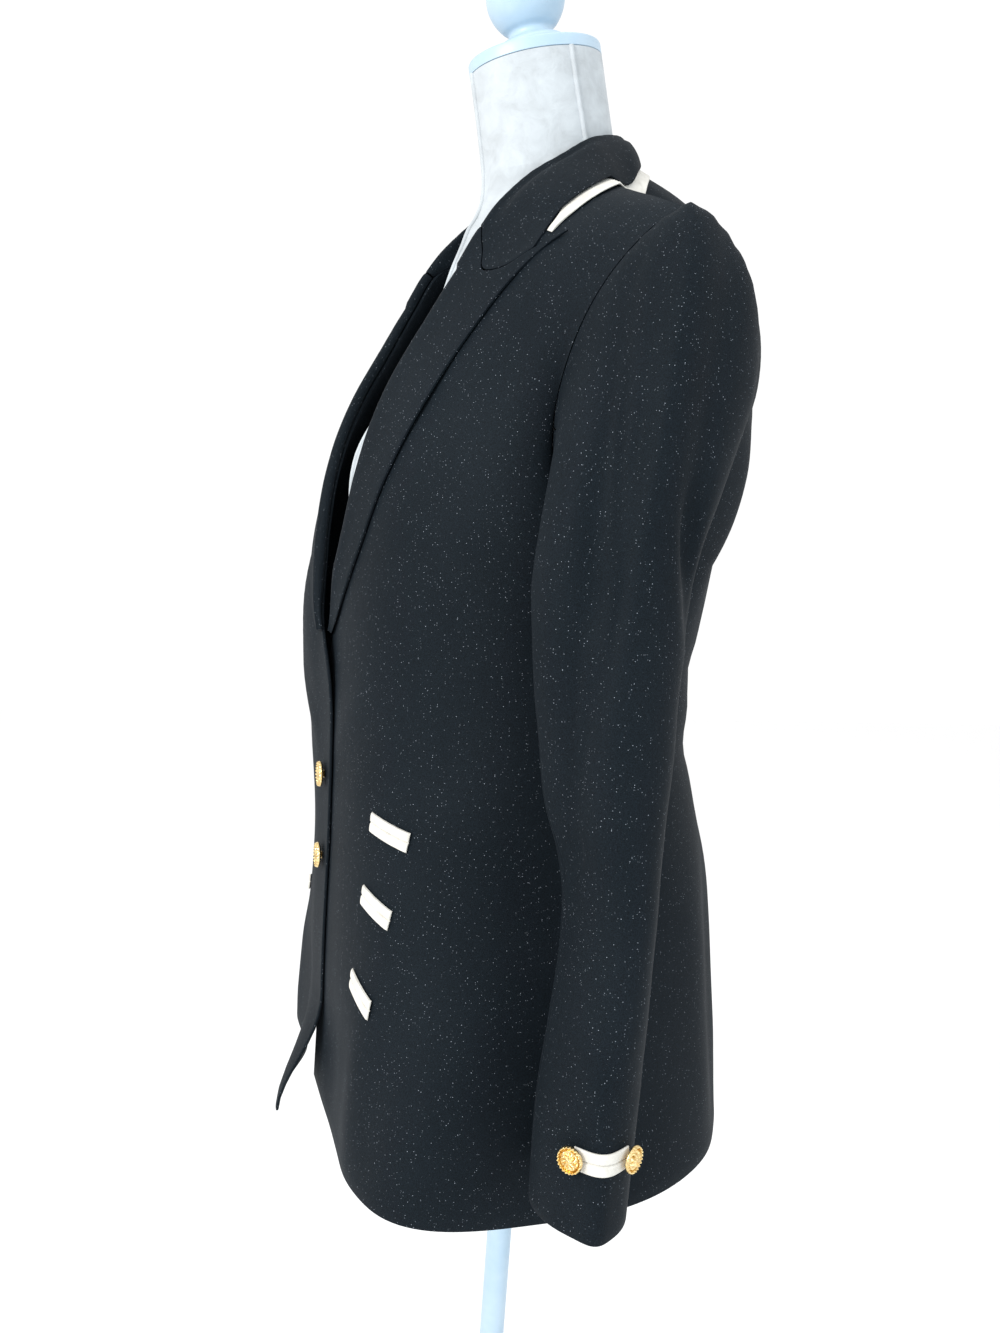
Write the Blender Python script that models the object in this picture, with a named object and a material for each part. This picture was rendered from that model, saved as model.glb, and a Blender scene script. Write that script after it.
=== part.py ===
"""A tailored blazer on a limbless dress form, modelled from its cut.

Metres, +Z up, origin on the floor under the pole. The wearer's front looks along -Y and
the wearer's left is +X. The tables give "forward" as -Y and "height" above the hem.
"""
import bmesh
import bpy
import numpy as np

# Driving sizes
HEM = 0.780
CLOTH = 0.002
SEAM = 0.0003
SHOULDER_SEAM = 0.006
SHOULDER_TOP = 0.560
OVERLAP = 0.018
UNDERARM = 0.420
CUFF = 0.040
SLEEVE_TOP_RING = 0.400
CHEST_TO_SHOULDER = 0.240
BUTTON_RADIUS = 0.0095
CUFF_BUTTON_RADIUS = 0.008
HEM_CORNER = 0.008
HEM_CORNER_ANGLE = np.radians(52)
HEM_CORNER_SPREAD = np.radians(13)
WELT_HEIGHT = 0.013
TRIM_CLOTH = 0.0012
TRIM_LIFT = 0.0006
BAND_LIFT = 0.0016
BAND_SEAM_LIFT = 0.0028
LAP_LIFT = 0.0008
BREAK_HEIGHT = 0.345
BREAK_LIFT = 1.4
CHEST_STAND_OFF = 0.0205
CORNER_SWING = 0.030
CORNER_DROP = 0.007
POLE_RADIUS = 0.0100
POLE_FORWARD = 0.001

# Body sections: height, half width, forward place of the widest point, depth at the
# centre front, depth at the centre back, squareness of the front and of the back
BODY = (
    (0.00, 0.197, 0.030, 0.159, 0.153, 4.0, 2.1),
    (0.05, 0.190, 0.030, 0.159, 0.147, 3.8, 2.1),
    (0.10, 0.183, 0.030, 0.1605, 0.141, 3.4, 2.1),
    (0.15, 0.176, 0.028, 0.161, 0.135, 3.1, 2.1),
    (0.20, 0.168, 0.026, 0.161, 0.127, 2.9, 2.1),
    (0.25, 0.161, 0.023, 0.162, 0.112, 2.8, 2.1),
    (0.30, 0.156, 0.020, 0.163, 0.099, 2.75, 2.1),
    (0.34, 0.157, 0.018, 0.164, 0.099, 2.7, 2.1),
    (0.38, 0.161, 0.013, 0.1635, 0.101, 2.7, 2.15),
    (0.42, 0.167, 0.008, 0.160, 0.104, 2.65, 2.2),
)

# Heights of the panels' rows up to the underarm, closer where the edge or the waist turns
FRONT_ROWS = (0.0, 0.02, 0.05, 0.10, 0.15, 0.20, 0.25, 0.30, 0.335, 0.349, 0.362, 0.388, 0.42)
BACK_ROWS = (0.0, 0.05, 0.10, 0.15, 0.20, 0.24, 0.28, 0.32, 0.355, 0.39, 0.42)

# Front edge below the underarm level: height, distance beyond the centre line
FRONT_EDGE = (
    (0.00, -0.018),
    (0.20, -0.018),
    (0.30, -0.018),
    (0.33, -0.016),
    (0.36, 0.006),
    (0.39, 0.018),
    (0.42, 0.029),
)

# Roll line and neckline of a front above the underarm level: sideways, forward, height
ROLL_LINE = (
    (0.029, 0.1575, 0.420),
    (0.042, 0.1535, 0.467),
    (0.050, 0.1470, 0.497),
    (0.058, 0.1365, 0.527),
    (0.066, 0.1205, 0.560),
    (0.072, 0.1010, 0.600),
    (0.0735, 0.0860, 0.628),
    (0.076, 0.0600, 0.648),
    (0.0755, 0.0300, 0.665),
    (0.071, 0.0060, 0.673),
)

# Armhole from the underarm up to the shoulder point: sideways, forward, height
FRONT_ARMHOLE = (
    (0.167, 0.008, 0.420),
    (0.165, 0.038, 0.434),
    (0.161, 0.058, 0.462),
    (0.161, 0.064, 0.500),
    (0.165, 0.059, 0.540),
    (0.171, 0.047, 0.575),
    (0.179, 0.031, 0.602),
    (0.187, 0.017, 0.618),
    (0.195, 0.006, 0.626),
)
BACK_ARMHOLE = (
    (0.167, 0.008, 0.420),
    (0.170, -0.018, 0.436),
    (0.174, -0.035, 0.465),
    (0.177, -0.042, 0.500),
    (0.180, -0.042, 0.540),
    (0.184, -0.034, 0.575),
    (0.188, -0.021, 0.603),
    (0.192, -0.006, 0.619),
    (0.195, 0.006, 0.626),
)

# Centre back seam above the underarm level, and the back's top edge from the centre
# back neck over the neck point to the shoulder point
CENTRE_BACK = (
    (0.000, -0.104, 0.420),
    (0.000, -0.114, 0.465),
    (0.000, -0.134, 0.510),
    (0.000, -0.153, 0.555),
    (0.000, -0.152, 0.600),
    (0.000, -0.124, 0.650),
    (0.000, -0.076, 0.684),
    (0.000, -0.038, 0.6985),
)
BACK_TOP = (
    (0.000, -0.038, 0.6985),
    (0.028, -0.033, 0.697),
    (0.052, -0.016, 0.688),
    (0.071, 0.006, 0.673),
    (0.113, 0.006, 0.6565),
    (0.156, 0.006, 0.641),
    (0.195, 0.006, 0.626),
)

# Lapel from the break up: a point on the roll line and its point on the outer edge,
# each as sideways and height
LAPEL = (
    (0.000, 0.353, 0.005, 0.351),
    (0.007, 0.362, 0.015, 0.358),
    (0.018, 0.390, 0.036, 0.382),
    (0.029, 0.420, 0.054, 0.410),
    (0.039, 0.455, 0.072, 0.443),
    (0.049, 0.492, 0.090, 0.480),
    (0.058, 0.527, 0.104, 0.518),
    (0.066, 0.560, 0.113, 0.556),
    (0.072, 0.600, 0.123, 0.596),
    (0.074, 0.627, 0.134, 0.620),
)
# Gorge seam from the roll line to the lapel's point: sideways, height
GORGE = (
    (0.074, 0.627),
    (0.087, 0.609),
    (0.101, 0.593),
    (0.110, 0.598),
    (0.121, 0.607),
    (0.134, 0.620),
)
LAPEL_END = 0.994
COLLAR_START = 0.998
# Section of a lapel from the panel's edge over the roll to the outer edge: share of the
# width and height above the panel, with the roll's own distances in metres first
LAPEL_ROLL = (
    (-0.0012, 0.0000),
    (-0.0042, 0.0022),
    (-0.0042, 0.0060),
    (-0.0010, 0.0082),
)
LAPEL_FALL = (
    (0.10, 0.0078),
    (0.24, 0.0066),
    (0.40, 0.0054),
    (0.60, 0.0043),
    (0.80, 0.0034),
    (1.00, 0.0028),
)
COLLAR_POINTS = 9

# Sleeve sections from the upper arm to the cuff: height, centre sideways and forward,
# half size sideways and fore and aft, squareness, turn of the fold's ridge in degrees,
# depth of the fold beside it, height of the ridge
SLEEVE = (
    (0.400, 0.213, 0.0400, 0.044, 0.0455, 2.2, 14, 0.012, 0.000),
    (0.375, 0.2155, 0.0405, 0.044, 0.0432, 2.2, 18, 0.013, 0.000),
    (0.340, 0.218, 0.0403, 0.044, 0.0399, 2.2, 22, 0.013, 0.000),
    (0.316, 0.220, 0.0388, 0.0435, 0.0377, 2.2, 28, 0.012, 0.000),
    (0.275, 0.223, 0.0372, 0.043, 0.0327, 2.2, 38, 0.010, 0.000),
    (0.247, 0.2255, 0.0338, 0.0425, 0.0272, 2.1, 51, 0.006, 0.000),
    (0.220, 0.228, 0.0320, 0.042, 0.0240, 2.1, 60, 0.002, 0.000),
    (0.195, 0.230, 0.0325, 0.041, 0.0240, 2.0, 60, 0.000, 0.001),
    (0.148, 0.232, 0.0350, 0.040, 0.0262, 2.0, 40, 0.000, 0.002),
    (0.107, 0.2335, 0.0380, 0.039, 0.0288, 1.9, 15, 0.000, 0.003),
    (0.040, 0.236, 0.0400, 0.039, 0.0285, 1.8, 12, 0.000, 0.004),
)

SLEEVE_TOP_CENTRE = SLEEVE[0][1:3]
CREASE_DEPTH = 0.005
CREASE_PLACE = -0.040
CREASE_TURN = 0.125
ARMHOLE_EASE = 0.0030

# Height of each front welt's upper edge at its front end and at its side end
WELTS = (
    (0.2435, 0.2375),
    (0.1940, 0.1860),
    (0.1360, 0.1260),
)
WELT_START = 0.100
WELT_END = 0.131

# Buttons: heights of the two on the right front, and places around the sleeve of the two
# at each cuff; then the profile as share of the radius and share of the thickness
BUTTON_HEIGHTS = (0.246, 0.184)
CUFF_BUTTON_PLACES = (0.105, -0.066)
TAB_HEIGHT = 0.0875
BUTTON_PROFILE = (
    (0.34, 0.00),
    (0.34, 0.28),
    (0.90, 0.34),
    (1.00, 0.56),
    (0.95, 0.80),
    (0.80, 0.84),
    (0.70, 0.70),
    (0.30, 0.94),
)
BUTTON_THICKNESS = 0.0055

# Finial on the neck cap: radius and distance along its axis
FINIAL = (
    (0.0190, 0.0000),
    (0.0248, 0.0020),
    (0.0258, 0.0055),
    (0.0225, 0.0085),
    (0.0165, 0.0110),
    (0.0160, 0.0140),
    (0.0200, 0.0180),
    (0.0250, 0.0250),
    (0.0278, 0.0330),
    (0.0280, 0.0400),
    (0.0255, 0.0500),
    (0.0195, 0.0590),
    (0.0100, 0.0645),
)
NECK_CAP = 0.0085

# Round base: radius and height above the floor
BASE = (
    (0.160, 0.000),
    (0.165, 0.003),
    (0.165, 0.010),
    (0.160, 0.015),
    (0.060, 0.019),
    (0.020, 0.022),
)

# Collar from the gorge to the centre back: roll edge as sideways, forward and height,
# then the fall's outer edge and the band's outer edge as sideways and forward
COLLAR = (
    (0.0735, 0.0930, 0.6285, 0.1170, 0.0660, 0.1190, 0.0640),
    (0.0700, 0.0820, 0.6465, 0.1130, 0.0560, 0.1190, 0.0540),
    (0.0640, 0.0600, 0.6710, 0.1080, 0.0420, 0.1170, 0.0390),
    (0.0570, 0.0350, 0.6900, 0.0990, 0.0240, 0.1080, 0.0180),
    (0.0515, 0.0125, 0.7060, 0.0820, 0.0060, 0.0880, -0.0010),
    (0.0390, -0.0090, 0.7150, 0.0590, -0.0180, 0.0620, -0.0230),
    (0.0200, -0.0230, 0.7205, 0.0320, -0.0330, 0.0335, -0.0385),
    (0.0000, -0.0280, 0.7220, 0.0000, -0.0420, 0.0000, -0.0480),
)
STAND_CLEAR = 0.0045
FALL_LIFT = 0.0054
NECKLINE_PULL = 0.6
BAND_START = 2
BAND_TUCK = 0.20

# Dress form sections with the columns of the body sections, then the section's slope: its
# rise towards the back for each metre
FORM = (
    (0.030, 0.060, 0.010, 0.060, 0.040, 2.0, 2.0, 0.00),
    (0.034, 0.140, 0.010, 0.118, 0.096, 2.2, 2.1, 0.00),
    (0.045, 0.152, 0.010, 0.128, 0.108, 2.3, 2.1, 0.00),
    (0.062, 0.156, 0.010, 0.131, 0.111, 2.3, 2.1, 0.00),
    (0.120, 0.158, 0.012, 0.132, 0.112, 2.3, 2.1, 0.00),
    (0.200, 0.146, 0.014, 0.126, 0.102, 2.3, 2.1, 0.00),
    (0.290, 0.122, 0.016, 0.112, 0.078, 2.2, 2.1, 0.00),
    (0.350, 0.132, 0.014, 0.124, 0.080, 2.2, 2.1, 0.00),
    (0.400, 0.143, 0.012, 0.146, 0.086, 2.1, 2.1, 0.00),
    (0.440, 0.148, 0.008, 0.1555, 0.094, 1.9, 2.1, 0.00),
    (0.480, 0.150, 0.002, 0.1535, 0.104, 1.8, 2.0, 0.00),
    (0.520, 0.154, -0.004, 0.134, 0.114, 1.8, 1.9, 0.00),
    (0.560, 0.160, -0.004, 0.112, 0.122, 1.8, 1.60, 0.00),
    (0.595, 0.162, 0.001, 0.098, 0.120, 1.7, 1.32, 0.00),
    (0.620, 0.157, 0.005, 0.0905, 0.108, 1.35, 1.15, 0.00),
    (0.635, 0.146, 0.007, 0.085, 0.088, 1.22, 1.08, 0.00),
    (0.647, 0.127, 0.008, 0.081, 0.070, 1.12, 1.06, 0.00),
    (0.6550, 0.1070, 0.009, 0.077, 0.055, 1.06, 1.08, 0.01),
    (0.668, 0.057, 0.014, 0.073, 0.041, 1.5, 1.70, 0.05),
    (0.690, 0.0465, 0.020, 0.0725, 0.028, 2.0, 2.0, 0.12),
    (0.720, 0.0440, 0.028, 0.077, 0.0195, 2.0, 2.0, 0.20),
    (0.764, 0.043, 0.039, 0.086, 0.008, 2.0, 2.0, 0.255),
)


def point(sideways, forward, height):
    """World position from a garment position."""
    return np.stack(np.broadcast_arrays(sideways, -forward, HEM + height), -1)


def points(rows):
    """World positions from table rows of sideways, forward and height."""
    return np.array([point(*row) for row in np.array(rows, float)])


def curve(rows, where, at=None):
    """Smooth curve through the rows; without its own column it runs from 0 to 1."""
    rows = np.array(rows, float)
    if at is None:
        steps = np.linalg.norm(np.diff(rows, axis=0), axis=1)
        at = np.concatenate(([0.0], np.cumsum(steps))) / steps.sum()
    slopes = np.gradient(rows, at, axis=0)
    where = np.clip(where, at[0], at[-1])
    cell = np.clip(np.searchsorted(at, where, side="right") - 1, 0, len(at) - 2)
    width = (at[cell + 1] - at[cell])[..., None]
    share = (where - at[cell])[..., None] / width
    return hermite(share, rows[cell], slopes[cell] * width, rows[cell + 1], slopes[cell + 1] * width)


def columns(table, where):
    """Each column of a table at the values of its first column given by where."""
    table = np.array(table, float)
    table = table[np.argsort(table[:, 0])]
    return np.moveaxis(curve(table[:, 1:], where, table[:, 0]), -1, 0)


def hermite(share, start, leaving, end, arriving):
    """Cubic from start to end with the given tangents."""
    square, cube = share ** 2, share ** 3
    return ((2 * cube - 3 * square + 1) * start + (cube - 2 * square + share) * leaving
            + (3 * square - 2 * cube) * end + (cube - square) * arriving)


def ease(value, low, high):
    """Smooth step from 0 at low to 1 at high."""
    share = np.clip((value - low) / (high - low), 0, 1)
    return share * share * (3 - 2 * share)


def body(angle, height):
    """Outer surface of the body at an angle from the centre front round to the back."""
    half_width, widest, front_depth, back_depth, front_power, back_power = columns(BODY, height)
    ahead = np.cos(angle) >= 0
    depth = np.where(ahead, front_depth - widest, back_depth + widest)
    power = np.where(ahead, front_power, back_power)
    across = np.abs(np.sin(angle)) / half_width
    along = np.abs(np.cos(angle)) / depth
    radius = (across ** power + along ** power) ** (-1 / power)
    corner = np.exp(-((angle - HEM_CORNER_ANGLE) / HEM_CORNER_SPREAD) ** 2)
    radius = radius + HEM_CORNER * corner * (1 - ease(height, 0.0, 0.28))
    return point(radius * np.sin(angle), widest + radius * np.cos(angle), height)


def upper_body(share, start_angle, rise, centre, armhole, top, over_shoulder, fullness):
    """Panel above the underarm level: from the centre line to the armhole, up to its top edge."""
    side = np.pi / 2

    def loft(across):
        angle = start_angle + across * (side - start_angle)
        start = body(angle, np.full_like(angle, UNDERARM))
        below = body(angle, np.full_like(angle, UNDERARM - 0.01))
        leaving = (start - below) / 0.01 * CHEST_TO_SHOULDER
        return hermite(rise[..., None], start, leaving, curve(top, across), over_shoulder)

    zero = np.zeros_like(share)
    centre_shift = curve(centre, rise) - loft(zero)
    armhole_shift = curve(armhole, rise) - loft(zero + 1)
    from_centre = ((1 - share ** fullness) ** 2)[..., None]
    return loft(share) + from_centre * centre_shift + (share ** 3)[..., None] * armhole_shift


def front(share, level):
    """Left front; level 0 to 1 runs up to the underarm, 1 to 2 up to the shoulder."""
    share, level = np.broadcast_arrays(share * 1.0, level * 1.0)
    height = UNDERARM * np.clip(level, 0, 1)
    edge, = columns(FRONT_EDGE, height)
    _, widest, depth, _, _, _ = columns(BODY, height)
    start = np.arctan2(edge, depth - widest)
    lower = body(start + share * (np.pi / 2 - start), height)
    shoulder = points(BACK_TOP[3:])
    centre = points(ROLL_LINE)
    centre[0] = front_row_start()
    upper = upper_body(share, underarm_start(), np.clip(level - 1, 0, 1), centre,
                       points(FRONT_ARMHOLE), shoulder, np.array((0.0, 0.150, 0.020)), 1.0)
    return np.where((level <= 1)[..., None], lower, upper)


def underarm_start():
    """Angle of the front edge at the underarm level."""
    edge, = columns(FRONT_EDGE, np.array(UNDERARM))
    _, widest, depth, _, _, _ = columns(BODY, np.array(UNDERARM))
    return np.arctan2(edge, depth - widest)


def front_row_start():
    """Front edge at the underarm level."""
    return body(underarm_start(), np.array(UNDERARM))


def back(share, level):
    """Left back; share runs from the centre back seam to the side, level as for the front."""
    share, level = np.broadcast_arrays(share * 1.0, level * 1.0)
    height = UNDERARM * np.clip(level, 0, 1)
    lower = body(np.pi - share * np.pi / 2, height)
    upper = upper_body(share, np.pi, np.clip(level - 1, 0, 1), points(CENTRE_BACK),
                       points(BACK_ARMHOLE), points(BACK_TOP), np.array((0.0, -0.150, 0.026)), 2.0)
    return np.where((level <= 1)[..., None], lower, upper)


def grid_normals(grid, outward):
    """Unit normals of a grid of points, turned towards the side that outward points to."""
    normal = np.cross(np.gradient(grid, axis=0), np.gradient(grid, axis=1))
    normal /= np.linalg.norm(normal, axis=-1, keepdims=True)
    middle = normal[normal.shape[0] // 2, normal.shape[1] // 2]
    return normal if middle @ np.array(outward) > 0 else -normal


def place_on(panel, targets, seen_along):
    """Points and outward normals of a panel where it is seen at the targets along an axis."""
    kept = [axis for axis in range(3) if axis != seen_along]
    share, level = np.meshgrid(np.linspace(0, 1, 41), np.linspace(0, 2, 81), indexing="ij")
    samples = panel(share, level)[..., kept].reshape(-1, 2)
    flat = targets.reshape(-1, 2)
    nearest = np.array([np.argmin(((samples - place) ** 2).sum(1)) for place in flat])
    share, level = share.reshape(-1)[nearest], level.reshape(-1)[nearest]
    step = 1e-4
    for _ in range(15):
        level = np.clip(level, step, 2 - step)
        here = panel(share, level)
        along_share = (panel(share + step, level) - panel(share - step, level)) / (2 * step)
        along_level = (panel(share, level + step) - panel(share, level - step)) / (2 * step)
        matrix = np.stack((along_share[:, kept], along_level[:, kept]), -1)
        move = np.linalg.solve(matrix, (flat - here[:, kept])[..., None])[..., 0]
        share = share + np.clip(move[:, 0], -0.05, 0.05)
        level = level + np.clip(move[:, 1], -0.05, 0.05)
    normal = np.cross(along_share, along_level)
    normal /= np.linalg.norm(normal, axis=-1, keepdims=True)
    middle = point(0.0, 0.01, 0.40)
    normal *= np.sign(((here - middle) * normal).sum(-1, keepdims=True))
    shape = targets.shape[:-1] + (3,)
    return here.reshape(shape), normal.reshape(shape)


def place_on_front(sideways, height):
    """Point and outward normal of the left front at a place as seen from the front."""
    return place_on(front, np.stack(np.broadcast_arrays(sideways, HEM + height), -1), 1)


def place_on_shoulder(sideways, forward):
    """Point and outward normal of the front or the back at a place as seen from above."""
    targets = np.stack(np.broadcast_arrays(sideways, -forward), -1)
    on_front = place_on(front, targets, 2)
    on_back = place_on(back, targets, 2)
    ahead = (np.broadcast_to(forward, targets.shape[:-1]) > SHOULDER_SEAM)[..., None]
    return np.where(ahead, on_front[0], on_back[0]), np.where(ahead, on_front[1], on_back[1])


def sleeve_section(around, height):
    """Sleeve outline at a height; around 0 is the outer side, a quarter is the front."""
    centre, ahead, half_side, half_fore, power, ridge, dent, crest = columns(SLEEVE, height)
    angle = 2 * np.pi * around
    radius = (np.abs(np.cos(angle)) ** power + np.abs(np.sin(angle)) ** power) ** (-1 / power)
    from_ridge = np.mod(angle - np.radians(ridge) + np.pi, 2 * np.pi) - np.pi
    radius = radius - dent / half_fore * np.exp(-((from_ridge - 0.52) / 0.38) ** 2)
    radius = radius + crest / half_side * np.exp(-(from_ridge / 0.30) ** 2)
    sideways = centre + half_side * radius * np.cos(angle)
    return point(sideways, ahead + half_fore * radius * np.sin(angle), height)


def armhole_ring(around):
    """Closed armhole curve from the shoulder point down the front and up the back."""
    forward_side = curve(points(FRONT_ARMHOLE), 1 - 2 * around)
    back_side = curve(points(BACK_ARMHOLE), 2 * around - 1)
    return np.where((around <= 0.5)[..., None], forward_side, back_side)


def sleeve(around, level):
    """Left sleeve; level 0 to 1 runs from the armhole to the upper arm, 1 to 2 to the cuff."""
    around, level = np.broadcast_arrays(around * 1.0, level * 1.0)
    height = SLEEVE_TOP_RING + (CUFF - SLEEVE_TOP_RING) * np.clip(level - 1, 0, 1)
    lower = sleeve_section(around, height)
    ring = armhole_ring(around)
    hole_centre = point(0.172, 0.004, 0.530)
    inward = hole_centre - ring
    inward[..., 0] = 0
    inward /= np.linalg.norm(inward, axis=-1, keepdims=True)
    start = ring + inward * ARMHOLE_EASE
    end = sleeve_section(around, np.full_like(around, SLEEVE_TOP_RING))
    reach = np.linalg.norm(end - start, axis=-1, keepdims=True)
    top = 0.5 + 0.5 * np.cos(2 * np.pi * around)[..., None]
    rear = np.sqrt(np.clip(-np.sin(2 * np.pi * around), 0, 1))[..., None]
    direction = np.array((0.42, 0, 0)) + top * np.array((0.10, 0, 0.19)) + rear * np.array((0, 0.66, 0.16))
    leaving = reach * direction
    arriving = reach * np.array((0, 0, -1.1))
    rise = np.clip(level, 0, 1)
    upper = hermite(rise[..., None], start, leaving, end, arriving)
    axis = hole_centre + rise[..., None] * (point(*SLEEVE_TOP_CENTRE, SLEEVE_TOP_RING) - hole_centre)
    outward = upper - axis
    outward /= np.linalg.norm(outward, axis=-1, keepdims=True)
    crease = CREASE_PLACE - CREASE_TURN * rise ** 4
    from_crease = np.mod(around - crease + 0.5, 1) - 0.5
    fading = ease(rise, 0.05, 0.35) * (1 - ease(rise, 0.85, 1.0))
    depth = CREASE_DEPTH * fading * np.exp(-(from_crease / 0.030) ** 2)
    upper = upper - outward * depth[..., None]
    return np.where((level >= 1)[..., None], lower, upper)


def mirrored(grid):
    """The same points on the wearer's right."""
    return grid * np.array((-1.0, 1.0, 1.0))


def material(name, colour, roughness, metallic=0.0):
    """A plain material of one colour."""
    made = bpy.data.materials.new(name)
    made.use_nodes = True
    surface = made.node_tree.nodes["Principled BSDF"]
    surface.inputs["Base Color"].default_value = (*colour, 1)
    surface.inputs["Roughness"].default_value = roughness
    surface.inputs["Metallic"].default_value = metallic
    made.diffuse_color = (*colour, 1)
    return made


def add_object(name, vertices, faces, made_of, smooth_angle=40):
    """Link a mesh object with its faces turned outwards."""
    mesh = bpy.data.meshes.new(name)
    mesh.from_pydata([tuple(map(float, place)) for place in vertices], [], faces)
    shape = bmesh.new()
    shape.from_mesh(mesh)
    bmesh.ops.recalc_face_normals(shape, faces=shape.faces)
    shape.to_mesh(mesh)
    shape.free()
    mesh.materials.append(made_of)
    mesh.shade_smooth()
    mesh.set_sharp_from_angle(angle=np.radians(smooth_angle))
    made = bpy.data.objects.new(name, mesh)
    bpy.context.scene.collection.objects.link(made)
    return made


def add_shell(name, outer, inner, made_of):
    """Closed wall between two grids of points of the same size."""
    rows, across = outer.shape[:2]
    count = rows * across
    faces = []
    for i in range(rows - 1):
        for j in range(across - 1):
            corner = i * across + j
            quad = (corner, corner + 1, corner + across + 1, corner + across)
            faces.append(quad)
            faces.append(tuple(index + count for index in reversed(quad)))
    rim = [j for j in range(across)]
    rim += [i * across + across - 1 for i in range(1, rows)]
    rim += [(rows - 1) * across + j for j in range(across - 2, -1, -1)]
    rim += [i * across for i in range(rows - 2, 0, -1)]
    for here, there in zip(rim, rim[1:] + rim[:1]):
        faces.append((there, here, here + count, there + count))
    return add_object(name, np.concatenate((outer.reshape(-1, 3), inner.reshape(-1, 3))), faces, made_of)


def add_loft(name, rings, made_of, smooth_angle=40):
    """Closed solid through rings of points, with flat caps at both ends."""
    sides = len(rings[0])
    faces = []
    for level in range(len(rings) - 1):
        for j in range(sides):
            low, next_low = level * sides + j, level * sides + (j + 1) % sides
            faces.append((low, next_low, next_low + sides, low + sides))
    faces.append(tuple(range(sides))[::-1])
    faces.append(tuple(range((len(rings) - 1) * sides, len(rings) * sides)))
    return add_object(name, np.concatenate(rings), faces, made_of, smooth_angle)


def spread(count, low=0.0, high=1.0):
    """Evenly spaced values."""
    return np.linspace(low, high, count)


def panel_levels(heights, upper):
    """Levels of a panel's rows, below and above the underarm."""
    return np.concatenate((np.array(heights) / UNDERARM, spread(upper + 1, 1, 2)[1:]))


def stand_forward(grid):
    """The right front with its points moved forward where it stands off over the chest."""
    across = np.exp(-((grid[..., 0] + 0.080) / 0.050) ** 2)
    up = np.exp(-((grid[..., 2] - HEM - 0.365) / 0.120) ** 2)
    moved = grid.copy()
    moved[..., 1] -= CHEST_STAND_OFF * across * up
    return moved


def lapped(grid):
    """The right front with its edge lapped over the left front."""
    over = ease(grid[..., 0], -0.070, -0.022)
    near_break = np.exp(-((grid[..., 2] - HEM - BREAK_HEIGHT) / 0.035) ** 2)
    moved = grid.copy()
    moved[..., 1] -= (CLOTH + LAP_LIFT) * over * (1 + BREAK_LIFT * near_break)
    return moved


def flared(grid):
    """The right front with its lower corner swung forward and down."""
    down = (1 - ease(grid[..., 2] - HEM, 0.0, 0.085)) ** 1.3
    near_edge = ease(grid[..., 0], -0.075, OVERLAP)
    moved = grid.copy()
    moved[..., 1] -= CORNER_SWING * down * near_edge
    moved[..., 2] -= CORNER_DROP * down * near_edge
    return moved


def on_right(grid):
    """Left front points carried over to the right front."""
    return stand_forward(flared(lapped(mirrored(grid))))


def make_fronts(black):
    """Both fronts; the right one laps over the left one."""
    share, level = np.meshgrid(spread(15), panel_levels(FRONT_ROWS, 8), indexing="ij")
    grid = front(share * (1 - 0.001), level)
    grid[..., 1] = np.minimum(grid[..., 1], -SHOULDER_SEAM - SEAM / 2)
    inner = grid - grid_normals(grid, (1, -1, 0)) * CLOTH
    inner[..., 1] = np.minimum(inner[..., 1], -SHOULDER_SEAM - SEAM / 2)
    add_shell("front_left", grid, inner, black)
    add_shell("front_right", on_right(grid), on_right(inner), black)


def make_backs(black):
    """Both backs with a centre back seam between them."""
    share, level = np.meshgrid(spread(12), panel_levels(BACK_ROWS, 8), indexing="ij")
    grid = back(share * (1 - 0.001), level)
    inner = grid - grid_normals(grid, (1, 1, 0)) * CLOTH
    for wall in (grid, inner):
        wall[..., 0] = np.maximum(wall[..., 0], SEAM / 2)
        behind_seam = np.maximum(wall[..., 1], -SHOULDER_SEAM + SEAM / 2)
        wall[..., 1] = np.where(wall[..., 2] > HEM + SHOULDER_TOP, behind_seam, wall[..., 1])
    add_shell("back_left", grid, inner, black)
    add_shell("back_right", mirrored(grid), mirrored(inner), black)


def make_sleeves(black):
    """Upper and under sleeves, meeting at a front and a back seam."""
    front_seam, back_seam = 0.30, 0.80
    levels = np.concatenate((spread(9), spread(10, 1, 2)[1:]))
    slack = 0.0012
    for name, low, high, count in (
            ("upper_sleeve", back_seam - 1 + slack, front_seam - slack, 14),
            ("under_sleeve", front_seam + slack, back_seam - slack, 11)):
        around, level = np.meshgrid(spread(count, low, high), levels, indexing="ij")
        grid = sleeve(around % 1.0, level)
        inner = grid - sleeve_normals(around, level) * CLOTH
        add_shell(name + "_left", grid, inner, black)
        add_shell(name + "_right", mirrored(grid), mirrored(inner), black)


def sleeve_normals(around, level):
    """Outward normals of the left sleeve."""
    step = 0.004
    higher = np.clip(level - step, 0, 2)
    lower = np.clip(level + step, 0, 2)
    along = sleeve(around % 1.0, lower) - sleeve(around % 1.0, higher)
    across = sleeve((around + step) % 1.0, level) - sleeve((around - step) % 1.0, level)
    normal = np.cross(across, along)
    return normal / np.linalg.norm(normal, axis=-1, keepdims=True)


def lapel_outline(along, share):
    """Place on the front, as seen from the front, of a lapel point before its roll."""
    roll_x, roll_height, edge_x, edge_height = np.moveaxis(curve(LAPEL, along), -1, 0)
    straight = np.stack((roll_x + share * (edge_x - roll_x),
                         roll_height + share * (edge_height - roll_height)), -1)
    first, last = np.array(GORGE[0]), np.array(GORGE[-1])
    shape_of_gorge = curve(GORGE, share) - (first + share[..., None] * (last - first))
    return straight + ease(along, 0.72, 1.0)[..., None] * shape_of_gorge


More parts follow.
